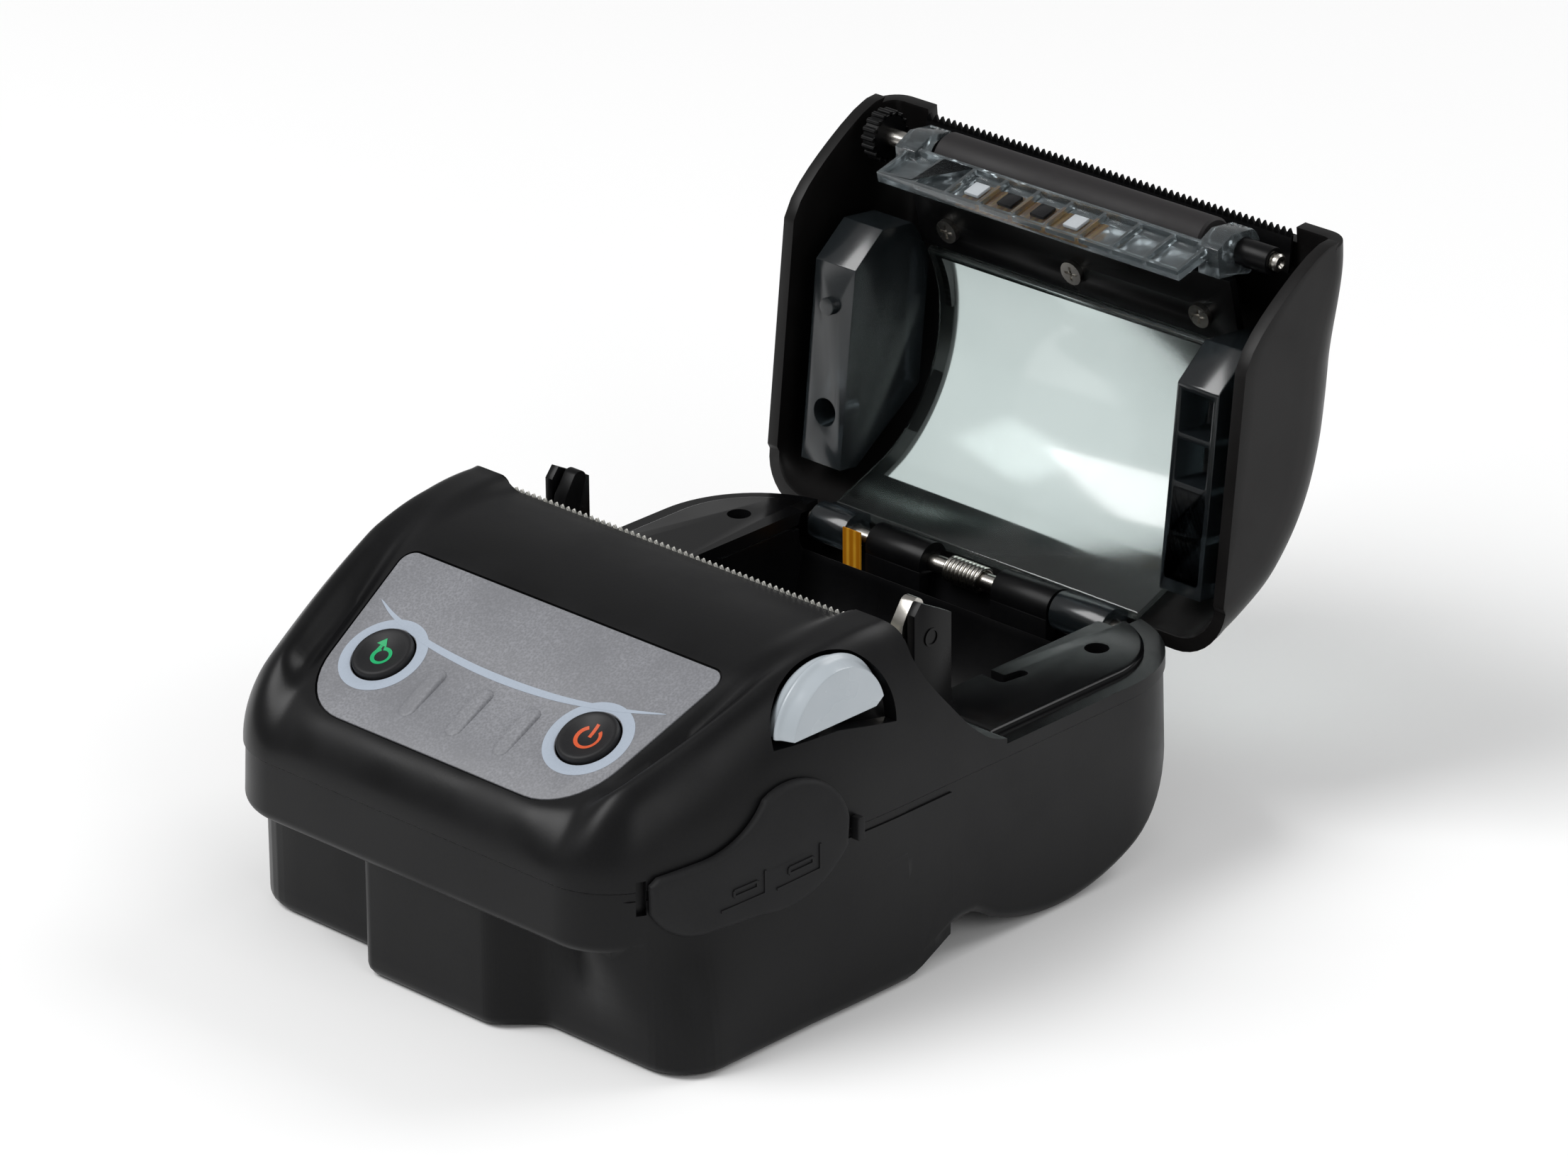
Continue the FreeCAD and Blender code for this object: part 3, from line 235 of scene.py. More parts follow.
# Smoke-tinted polycarbonate: dark and glossy, lighter where it is thin.
SMOKY_PC = Finish("smoked_polished_polycarbonate", "#363d41", "#2b3236", 0.2, Grain.POLISHED, grain_mm=9.0,
                  relief_mm=0.004, uneven=0.05, clear=0.8, ior=1.58, specular=0.17)
# The ribbed bar's lighter smoke tint lets the parts behind it show.
BAR_PC = Finish("light_smoked_polycarbonate", "#97a1a5", "#8b959a", 0.16, Grain.POLISHED, grain_mm=9.0,
                relief_mm=0.008, uneven=0.05, clear=0.9, ior=1.58, specular=0.35)
# Glass-filled black nylon of the working parts: semi-gloss with fine flow marks. It is also put on the steel
# left lock hook as painted shade.
BLACK_NYLON = Finish("black_glass_filled_nylon", "#080809", "#0f0f10", 0.34, grain_mm=0.7, relief_mm=0.01,
                     specular=0.14, spread=0.5)
# Stainless steel, drawn or rolled: bright, with fine lines along its length.
STEEL = Finish("drawn_stainless_steel", "#b9b6b0", "#96928c", 0.26, Grain.DRAWN, grain_mm=0.5,
               relief_mm=0.004, metallic=1.0, stretch=(0.08, 1.0, 1.0))
# The tear bar is stamped from rolled strip, so its face is duller than the turned parts.
STAMPED_STEEL = Finish("stamped_steel_strip", "#a5a49f", "#7f7d79", 0.34, Grain.DRAWN, grain_mm=0.6,
                       relief_mm=0.006, metallic=1.0, stretch=(0.1, 1.0, 1.0))
# Extruded aluminium of the heat sink: soft grey, with the die's lines along it.
ALUMINIUM = Finish("extruded_aluminium", "#a9abad", "#8f9194", 0.4, Grain.DRAWN, grain_mm=0.6,
                   relief_mm=0.005, metallic=1.0, stretch=(0.1, 1.0, 1.0))
# Gold-plated brass contacts: warm and bright, with a fine unevenness from the plating.
BRASS = Finish("gold_plated_brass", "#c79a4a", "#a87d36", 0.3, Grain.DRAWN, grain_mm=0.5, metallic=1.0)
# Polyimide film over copper: amber, with the tracks showing through as paler lines.
AMBER_FILM = Finish("amber_polyimide_film", "#a8690f", "#d29a2c", 0.28, Grain.ETCHED, grain_mm=0.8,
                    relief_mm=0.006, spread=1.0, ior=1.7)
# Green solder mask over copper: the tracks show as paler lines under the gloss.
BOARD = Finish("green_solder_mask_laminate", "#14502f", "#2d7a4a", 0.4, Grain.ETCHED, grain_mm=1.2,
               relief_mm=0.01, spread=0.8)
# Glazed alumina of the print head: off-white and smooth.
CERAMIC = Finish("glazed_alumina_ceramic", "#d9d6cd", "#c8c4b9", 0.25, Grain.POLISHED, grain_mm=3.0)
# Pale nylon of the sensor housings: clean, with a low sheen.
SENSOR_WHITE = Finish("white_sensor_nylon", "#b4b9bd", "#a1a6aa", 0.4, grain_mm=0.5)
# Epoxy over a sensor chip: black and smooth, so it reads as a small dark square.
SENSOR_BLACK = Finish("black_epoxy_cast", "#0c0c0e", "#16161a", 0.3, Grain.POLISHED, grain_mm=2.0,
                      specular=0.35)
# Shrink-wrapped PVC round the battery cells: dark grey with a slack gloss.
BATTERY_WRAP = Finish("printed_pvc_shrink_wrap", "#2d3238", "#3c434b", 0.35, Grain.POLISHED, grain_mm=4.0)

SLOT_FINISH: dict[str, Finish] = {
    "black_case": CASE_ABS, "black_lid": COVER_ABS, "panel_grey": PANEL_FILM, "black_rubber": KEY_RUBBER,
    "lever_grey": LEVER_ABS, "clear_window": CLEAR_PC, "smoky_plastic": SMOKY_PC,
    "black_moulding": BLACK_NYLON, "steel": STEEL, "aluminium": ALUMINIUM, "amber_film": AMBER_FILM,
    "board_green": BOARD, "ceramic_white": CERAMIC, "battery_wrap": BATTERY_WRAP,
    "white_sensor": SENSOR_WHITE, "contact_brass": BRASS,
}


# Shaping tools


class Axis(Enum):
    """The direction that a prism runs along, with the places of its outline's two numbers."""

    X = (1, 2, 0)
    Y = (0, 2, 1)
    Z = (0, 1, 2)


def smooth(low: float, high: float, value: np.ndarray | float) -> np.ndarray:
    """Soft step from 0 at low to 1 at high."""
    t = np.clip((np.asarray(value, float) - low) / (high - low), 0, 1)
    return t * t * (3 - 2 * t)


def three_point_arc(start: Pair, middle: Pair, end: Pair, steps: int) -> list[Pair]:
    """Points after start along the arc through three points.

    Args:
        start: Where the arc begins.
        middle: A point on it.
        end: Where it ends.
        steps: How many points to give.

    Returns:
        The points, the last of which is end.
    """
    a, b, c = complex(*start), complex(*middle), complex(*end)
    w = (c - a) / (b - a)
    if abs(w.imag) < 1e-9:
        return [end]
    centre = (b - a) * (w - abs(w) ** 2) / (2j * w.imag) + a
    first = math.atan2((a - centre).imag, (a - centre).real)
    way = [math.atan2((p - centre).imag, (p - centre).real) - first for p in (b, c)]
    turn = 2 * math.pi
    mid, last = [v % turn for v in way]
    if mid > last:
        last -= turn
    r = abs(a - centre)
    angles = [first + last * (i + 1) / steps for i in range(steps)]
    return [(centre.real + r * math.cos(t), centre.imag + r * math.sin(t)) for t in angles]


def trace(points: Sequence[tuple], steps: int = 10) -> list[Pair]:
    """Polyline of a closed outline.

    Args:
        points: Pairs, or four numbers for the end of an arc that passes through the last two.
        steps: Points on each arc.

    Returns:
        The outline without its first point repeated.
    """
    line = [tuple(points[0][:2])]
    for point in points[1:]:
        if len(point) == 4:
            line += three_point_arc(line[-1], point[2:], point[:2], steps)
        else:
            line.append(tuple(point))
    return line


def filleted(corners: Sequence[Triple], steps: int = 6) -> list[Pair]:
    """Closed outline with a round at each corner.

    Args:
        corners: Each corner's two places and its radius.
        steps: Points on each round.

    Returns:
        The outline's points.
    """
    line: list[Pair] = []
    count = len(corners)
    for i, (u, v, r) in enumerate(corners):
        here = Vector((u, v))
        back = (Vector(corners[i - 1][:2]) - here).normalized()
        on = (Vector(corners[(i + 1) % count][:2]) - here).normalized()
        if r <= 0:
            line.append((u, v))
            continue
        angle = back.angle(on)
        reach = r / math.tan(angle / 2)
        a, b = here + back * reach, here + on * reach
        centre = here + (back + on).normalized() * (r / math.sin(angle / 2))
        middle = centre + (here - centre).normalized() * r
        line.append(tuple(a))
        line += three_point_arc(tuple(a), tuple(middle), tuple(b), steps)
    return line


def spline(points: Sequence[Sequence[float]], steps: int = 8) -> np.ndarray:
    """Smooth curve through points.

    Args:
        points: The places it passes through.
        steps: Points made for each span.

    Returns:
        The curve's points, one row each.
    """
    p = np.asarray(points, float)
    p = np.vstack([2 * p[0] - p[1], p, 2 * p[-1] - p[-2]])
    t = np.linspace(0, 1, steps, endpoint=False)[:, None]
    rows = []
    for a, b, c, d in zip(p[:-3], p[1:-2], p[2:-1], p[3:]):
        rows.append(0.5 * (2 * b + (c - a) * t + (2 * a - 5 * b + 4 * c - d) * t ** 2
                           + (3 * b - a - 3 * c + d) * t ** 3))
    return np.vstack(rows + [p[-2:-1]])


def linked(name: str, data: bpy.types.ID) -> Thing:
    """Make an object from its data and link it to the scene.

    Args:
        name: The object's name.
        data: A mesh, camera or light.

    Returns:
        The object.
    """
    made = bpy.data.objects.new(name, data)
    bpy.context.scene.collection.objects.link(made)
    return made


def bands(rows: int, count: int) -> list[list[int]]:
    """Faces between closed rings of points.

    Args:
        rows: How many rings there are.
        count: Points in each ring.

    Returns:
        Rows of point numbers.
    """
    faces = []
    for start in range(0, (rows - 1) * count, count):
        for i in range(count):
            j = (i + 1) % count
            faces.append([start + i, start + j, start + count + j, start + count + i])
    return faces


def mesh_thing(name: str, points: Sequence[Sequence[float]], faces: Sequence[Sequence[int]]) -> Thing:
    """Make an object from points in millimetres, with doubles merged and faces turned outwards.

    Args:
        name: The object's name.
        points: Places in millimetres.
        faces: Rows of point numbers.

    Returns:
        The object, linked to the scene.
    """
    mesh = bpy.data.meshes.new(name)
    mesh.from_pydata([[float(v) * MM for v in p] for p in points], [], [list(f) for f in faces])
    made = linked(name, mesh)
    tidy(made)
    return made


def tidy(thing: Thing) -> None:
    """Merge doubled points, drop empty faces and turn the rest outwards.

    Args:
        thing: The object, whose mesh changes.
    """
    work = bmesh.new()
    work.from_mesh(thing.data)
    bmesh.ops.remove_doubles(work, verts=work.verts, dist=1e-6)
    bmesh.ops.dissolve_degenerate(work, edges=work.edges, dist=1e-7)
    bmesh.ops.recalc_face_normals(work, faces=work.faces)
    work.to_mesh(thing.data)
    work.free()


def bake(thing: Thing) -> Thing:
    """Turn an object's modifiers into plain mesh.

    Args:
        thing: The object.

    Returns:
        The same object.
    """
    bpy.context.view_layer.update()
    graph = bpy.context.evaluated_depsgraph_get()
    mesh = bpy.data.meshes.new_from_object(thing.evaluated_get(graph))
    old = thing.data
    thing.modifiers.clear()
    thing.data = mesh
    bpy.data.meshes.remove(old)
    return thing


class Join(Enum):
    """What a combining step does with its tools."""

    CUT = "DIFFERENCE"
    UNITE = "UNION"
    SHARE = "INTERSECT"


def combine(thing: Thing, tools: Sequence[Thing], join: Join = Join.CUT) -> Thing:
    """Cut tools from an object, or join them to it, and remove the tools.

    Args:
        thing: The object that changes.
        tools: Closed meshes.
        join: What is done with them.

    Returns:
        The same object.
    """
    for tool in tools:
        step = thing.modifiers.new("combine", "BOOLEAN")
        step.operation = join.value
        step.solver = "EXACT"
        step.object = tool
    bake(thing)
    for tool in tools:
        bpy.data.objects.remove(tool)
    return thing


def soften(thing: Thing, width: float, segments: int = 2, angle: float = 35.0) -> Thing:
    """Round an object's sharp edges.

    Args:
        thing: The object.
        width: The round's size in millimetres.
        segments: Faces across the round.
        angle: The least angle, in degrees, of an edge that is rounded.

    Returns:
        The same object.
    """
    step = thing.modifiers.new("soften", "BEVEL")
    step.width = width * MM
    step.segments = segments
    step.limit_method = "ANGLE"
    step.angle_limit = math.radians(angle)
    step.miter_outer = "MITER_ARC"
    return bake(thing)


def prism(name: str, outline: Sequence[Pair], axis: Axis, low: float, high: float) -> Thing:
    """Solid with the same outline all along an axis.

    Args:
        name: The object's name.
        outline: Closed outline, as (y, z), (x, z) or (x, y) for the axes X, Y and Z.
        axis: The axis it runs along.
        low: Its lower end.
        high: Its upper end.

    Returns:
        The solid.
    """
    u, v, w = axis.value
    count = len(outline)
    points = np.zeros((2 * count, 3))
    points[:, u] = [p[0] for p in outline] * 2
    points[:, v] = [p[1] for p in outline] * 2
    points[:count, w] = low
    points[count:, w] = high
    faces = [list(range(count))[::-1], list(range(count, 2 * count))]
    return mesh_thing(name, points, faces + bands(2, count))


def circle(u: float, v: float, r: float, steps: int = 40) -> list[Pair]:
    """Points round a circle."""
    turn = 2 * math.pi / steps
    return [(u + r * math.cos(i * turn), v + r * math.sin(i * turn)) for i in range(steps)]


def box(low: Triple, high: Triple) -> Thing:
    """Plain block, for cutting."""
    corners = [(low[0], low[1]), (high[0], low[1]), (high[0], high[1]), (low[0], high[1])]
    return prism("tool", corners, Axis.Z, low[2], high[2])


def turned(name: str, profile: Sequence[Pair], origin: Triple, axis: Triple, steps: int = 40) -> Thing:
    """Solid of revolution.

    Args:
        name: The object's name.
        profile: (place along the axis, radius) points from one end to the other.
        origin: A point on the axis.
        axis: The axis direction.
        steps: Faces round it.

    Returns:
        The solid, closed at both ends.
    """
    along = Vector(axis).normalized()
    side = along.orthogonal().normalized()
    other = along.cross(side)
    points = []
    for place, r in profile:
        for i in range(steps):
            t = 2 * math.pi * i / steps
            points.append(Vector(origin) + along * place + (side * math.cos(t) + other * math.sin(t)) * r)
    faces = bands(len(profile), steps)
    last = (len(profile) - 1) * steps
    faces.append(list(range(steps))[::-1])
    faces.append([last + i for i in range(steps)])
    return mesh_thing(name, points, faces)


def lofted(name: str, rings: Sequence[np.ndarray]) -> Thing:
    """Closed solid through rings that have the same number of points.

    Args:
        name: The object's name.
        rings: Rings of points, in order along the solid.

    Returns:
        The solid.
    """
    count = len(rings[0])
    points = np.vstack(rings)
    faces = [list(range(count))[::-1], [(len(rings) - 1) * count + i for i in range(count)]]
    return mesh_thing(name, points, faces + bands(len(rings), count))


def joined(name: str, things: Sequence[Thing]) -> Thing:
    """Put several objects into one, each keeping its materials.

    Args:
        name: The new object's name.
        things: The objects, which are removed.

    Returns:
        The new object.
    """
    materials: list[bpy.types.Material] = []
    work = bmesh.new()
    for thing in things:
        start = len(work.faces)
        work.from_mesh(thing.data)
        work.faces.ensure_lookup_table()
        places = []
        for material in thing.data.materials:
            if material not in materials:
                materials.append(material)
            places.append(materials.index(material))
        for face in work.faces[start:]:
            face.material_index = places[face.material_index] if places else 0
    mesh = bpy.data.meshes.new(name)
    work.to_mesh(mesh)
    work.free()
    for material in materials:
        mesh.materials.append(material)
    for thing in things:
        bpy.data.objects.remove(thing)
    return linked(name, mesh)


def softened_node(name: str, node: str, width: float, segments: int = 2) -> Thing:
    """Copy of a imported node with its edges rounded.

    Args:
        name: The copy's name.
        node: The node.
        width: The round's size in millimetres.
        segments: Faces across the round.

    Returns:
        The copy.
    """
    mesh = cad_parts[node].data.copy()
    mesh.materials.clear()
    work = bmesh.new()
    work.from_mesh(mesh)
    bmesh.ops.remove_doubles(work, verts=work.verts, dist=2e-6)
    bmesh.ops.dissolve_limit(work, angle_limit=math.radians(2), verts=work.verts, edges=work.edges)
    work.to_mesh(mesh)
    work.free()
    if "custom_normal" in mesh.attributes:
        mesh.attributes.remove(mesh.attributes["custom_normal"])
    return soften(linked(name, mesh), width, segments)


def dress(thing: Thing, finish: Finish, sharp: float = 38.0) -> Thing:
    """Give an object its finish and smooth shading with sharp edges kept.

    Args:
        thing: The object.
        finish: Its material.
        sharp: The angle, in degrees, from which an edge stays sharp.

    Returns:
        The same object.
    """
    thing.data.materials.clear()
    thing.data.materials.append(finish.material())
    thing.data.shade_smooth()
    thing.data.set_sharp_from_angle(angle=math.radians(sharp))
    return thing


def split_finish(thing: Thing, finish: Finish, chosen: Callable[[Vector, Vector], bool]) -> None:
    """Give some of an object's faces another finish.

    Args:
        thing: The object, which has its main finish.
        finish: The other finish.
        chosen: Tells from a face's middle, in millimetres, and its direction whether it changes.
    """
    thing.data.materials.append(finish.material())
    for face in thing.data.polygons:
        if chosen(face.center / MM, face.normal):
            face.material_index = len(thing.data.materials) - 1


def settle(thing: Thing, body: str, slot: str, *nodes: str) -> Thing:
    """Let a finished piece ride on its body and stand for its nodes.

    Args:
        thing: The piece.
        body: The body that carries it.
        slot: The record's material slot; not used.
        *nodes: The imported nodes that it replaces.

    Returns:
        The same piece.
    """
    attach(thing, body)
    if nodes:
        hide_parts(*nodes)
    LOG.info("%s rides on %s, %d faces", thing.name, body, len(thing.data.polygons))
    return thing


def refit(name: str, node: str, width: float, finish: Finish, body: str, slot: str) -> None:
    """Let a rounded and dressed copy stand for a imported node.

    Args:
        name: The copy's name.
        node: The node.
        width: The round's size in millimetres.
        finish: The copy's material.
        body: The body that carries it.
        slot: The record's material slot.
    """
    settle(dress(softened_node(name, node, width), finish), body, slot, node)


class Recipe:
    """Geometry node tree with named inputs, made in the script."""

    def __init__(self, name: str, inputs: dict[str, str]) -> None:
        """Start a tree.

        Args:
            name: The tree's name.
            inputs: Each input's name and socket type.
        """
        self.tree = bpy.data.node_groups.new(name, "GeometryNodeTree")
        self.tree.interface.new_socket("Geometry", in_out="OUTPUT", socket_type="NodeSocketGeometry")
        for label, kind in {**inputs, "Material": "NodeSocketMaterial"}.items():
            self.tree.interface.new_socket(label, in_out="INPUT", socket_type=kind)
        self.source = self.tree.nodes.new("NodeGroupInput")

    def take(self, label: str) -> bpy.types.NodeSocket:
        """Output of the group input with that name."""
        return self.source.outputs[label]

    def node(self, kind: str, inputs: dict | None = None, **settings: Any) -> bpy.types.Node:
        """Add a node to this tree."""
        return add(self.tree, kind, inputs, **settings)

    def close(self, geometry: bpy.types.NodeSocket) -> None:
        """End the tree in real geometry with its material.

        Args:
            geometry: What the tree has made.
        """
        real = self.node("GeometryNodeRealizeInstances", {"Geometry": geometry})
        dressed = self.node("GeometryNodeSetMaterial", {
            "Geometry": real.outputs[0], "Material": self.take("Material")})
        add(self.tree, "NodeGroupOutput", {"Geometry": dressed.outputs[0]})

    def grow(self, name: str, finish: Finish, **values: Any) -> Thing:
        """Make a plain mesh from the tree.

        Args:
            name: The object's name.
            finish: Its material.
            **values: A value for each input, with underscores for spaces.

        Returns:
            The object, with no modifier left.
        """
        made = linked(name, bpy.data.meshes.new(name))
        step = made.modifiers.new("grow", "NODES")
        step.node_group = self.tree
        values = {key.replace("_", " "): value for key, value in values.items()}
        values["Material"] = finish.material()
        for item in self.tree.interface.items_tree:
            if item.in_out == "INPUT":
                step[item.identifier] = values[item.name]
        return bake(made)


def tooth_row_recipe() -> Recipe:
    """Tree for a straight row of teeth, each a stem with a round tip.

    Returns:
        The tree.
    """
    recipe = Recipe("tooth_row", {
        "Count": "NodeSocketInt", "Start": "NodeSocketVector", "Step": "NodeSocketVector",
        "Tip Radius": "NodeSocketFloat", "Thickness": "NodeSocketFloat", "Sides": "NodeSocketInt",
        "Turn": "NodeSocketVector", "Stem": "NodeSocketVector", "Stem Drop": "NodeSocketVector"})
    line = recipe.node("GeometryNodeMeshLine", {
        "Count": recipe.take("Count"), "Start Location": recipe.take("Start"),
        "Offset": recipe.take("Step")}, mode="OFFSET")
    tip = recipe.node("GeometryNodeMeshCylinder", {
        "Vertices": recipe.take("Sides"), "Radius": recipe.take("Tip Radius"),
        "Depth": recipe.take("Thickness")})
    upright = recipe.node("GeometryNodeTransform", {
        "Geometry": tip.outputs["Mesh"], "Rotation": recipe.take("Turn")})
    stem = recipe.node("GeometryNodeMeshCube", {"Size": recipe.take("Stem")})
    lowered = recipe.node("GeometryNodeTransform", {
        "Geometry": stem.outputs["Mesh"], "Translation": recipe.take("Stem Drop")})
    both = recipe.node("GeometryNodeJoinGeometry")
    recipe.tree.links.new(upright.outputs[0], both.inputs[0])
    recipe.tree.links.new(lowered.outputs[0], both.inputs[0])
    row = recipe.node("GeometryNodeInstanceOnPoints", {
        "Points": line.outputs["Mesh"], "Instance": both.outputs[0]})
    recipe.close(row.outputs[0])
    return recipe


def gear_recipe() -> Recipe:
    """Tree for a spur gear along X: a hub disc with round teeth on its rim.

    Returns:
        The tree.
    """
    recipe = Recipe("spur_gear", {
        "Teeth": "NodeSocketInt", "Root Radius": "NodeSocketFloat", "Tooth Radius": "NodeSocketFloat",
        "Width": "NodeSocketFloat", "Place": "NodeSocketVector"})
    rim = recipe.node("GeometryNodeCurvePrimitiveCircle", {
        "Resolution": recipe.take("Teeth"), "Radius": recipe.take("Root Radius")})
    spots = recipe.node("GeometryNodeCurveToPoints", {
        "Curve": rim.outputs["Curve"], "Count": recipe.take("Teeth")}, mode="COUNT")
    tooth = recipe.node("GeometryNodeMeshCylinder", {
        "Vertices": 10, "Radius": recipe.take("Tooth Radius"), "Depth": recipe.take("Width")})
    teeth = recipe.node("GeometryNodeInstanceOnPoints", {
        "Points": spots.outputs["Points"], "Instance": tooth.outputs["Mesh"]})
    disc = recipe.node("GeometryNodeMeshCylinder", {
        "Vertices": 48, "Radius": recipe.take("Root Radius"), "Depth": recipe.take("Width")})
    both = recipe.node("GeometryNodeJoinGeometry")
    recipe.tree.links.new(teeth.outputs[0], both.inputs[0])
    recipe.tree.links.new(disc.outputs["Mesh"], both.inputs[0])
    turned_over = recipe.node("GeometryNodeTransform", {
        "Geometry": both.outputs[0], "Rotation": ALONG_X,
        "Translation": recipe.take("Place")})
    recipe.close(turned_over.outputs[0])
    return recipe


def coil_recipe() -> Recipe:
    """Tree for a coil spring along X.

    Returns:
        The tree.
    """
    recipe = Recipe("coil_spring", {
        "Turns": "NodeSocketFloat", "Coil Radius": "NodeSocketFloat", "Wire Radius": "NodeSocketFloat",
        "Length": "NodeSocketFloat", "Place": "NodeSocketVector"})
    path = recipe.node("GeometryNodeCurveSpiral", {
        "Resolution": 28, "Rotations": recipe.take("Turns"), "Start Radius": recipe.take("Coil Radius"),
        "End Radius": recipe.take("Coil Radius"), "Height": recipe.take("Length")})
    wire = recipe.node("GeometryNodeCurvePrimitiveCircle", {
        "Resolution": 10, "Radius": recipe.take("Wire Radius")})
    swept = recipe.node("GeometryNodeCurveToMesh", {
        "Curve": path.outputs[0], "Profile Curve": wire.outputs["Curve"], "Fill Caps": True})
    laid = recipe.node("GeometryNodeTransform", {
        "Geometry": swept.outputs[0], "Rotation": ALONG_X,
        "Translation": recipe.take("Place")})
    recipe.close(laid.outputs[0])
    return recipe


def screw_recipe() -> Recipe:
    """Tree for a row of pan-head screws with a cross recess.

    Returns:
        The tree.
    """
    recipe = Recipe("screw_row", {
        "Count": "NodeSocketInt", "Start": "NodeSocketVector", "Step": "NodeSocketVector",
        "Head Radius": "NodeSocketFloat", "Head Height": "NodeSocketFloat", "Recess": "NodeSocketVector",
        "Cross Recess": "NodeSocketVector", "Recess Place": "NodeSocketVector", "Turn": "NodeSocketVector"})
    line = recipe.node("GeometryNodeMeshLine", {
        "Count": recipe.take("Count"), "Start Location": recipe.take("Start"),
        "Offset": recipe.take("Step")}, mode="OFFSET")
    head = recipe.node("GeometryNodeMeshCylinder", {
        "Vertices": 24, "Radius": recipe.take("Head Radius"), "Depth": recipe.take("Head Height")})
    cut = recipe.node("GeometryNodeMeshBoolean", {"Mesh 1": head.outputs["Mesh"]}, operation="DIFFERENCE")
    for size in ("Recess", "Cross Recess"):
        bar = recipe.node("GeometryNodeMeshCube", {"Size": recipe.take(size)})
        lifted = recipe.node("GeometryNodeTransform", {
            "Geometry": bar.outputs["Mesh"], "Translation": recipe.take("Recess Place")})
        recipe.tree.links.new(lifted.outputs[0], cut.inputs["Mesh 2"])
    row = recipe.node("GeometryNodeInstanceOnPoints", {
        "Points": line.outputs["Mesh"], "Instance": cut.outputs["Mesh"], "Rotation": recipe.take("Turn")})
    recipe.close(row.outputs[0])
    return recipe


# The case


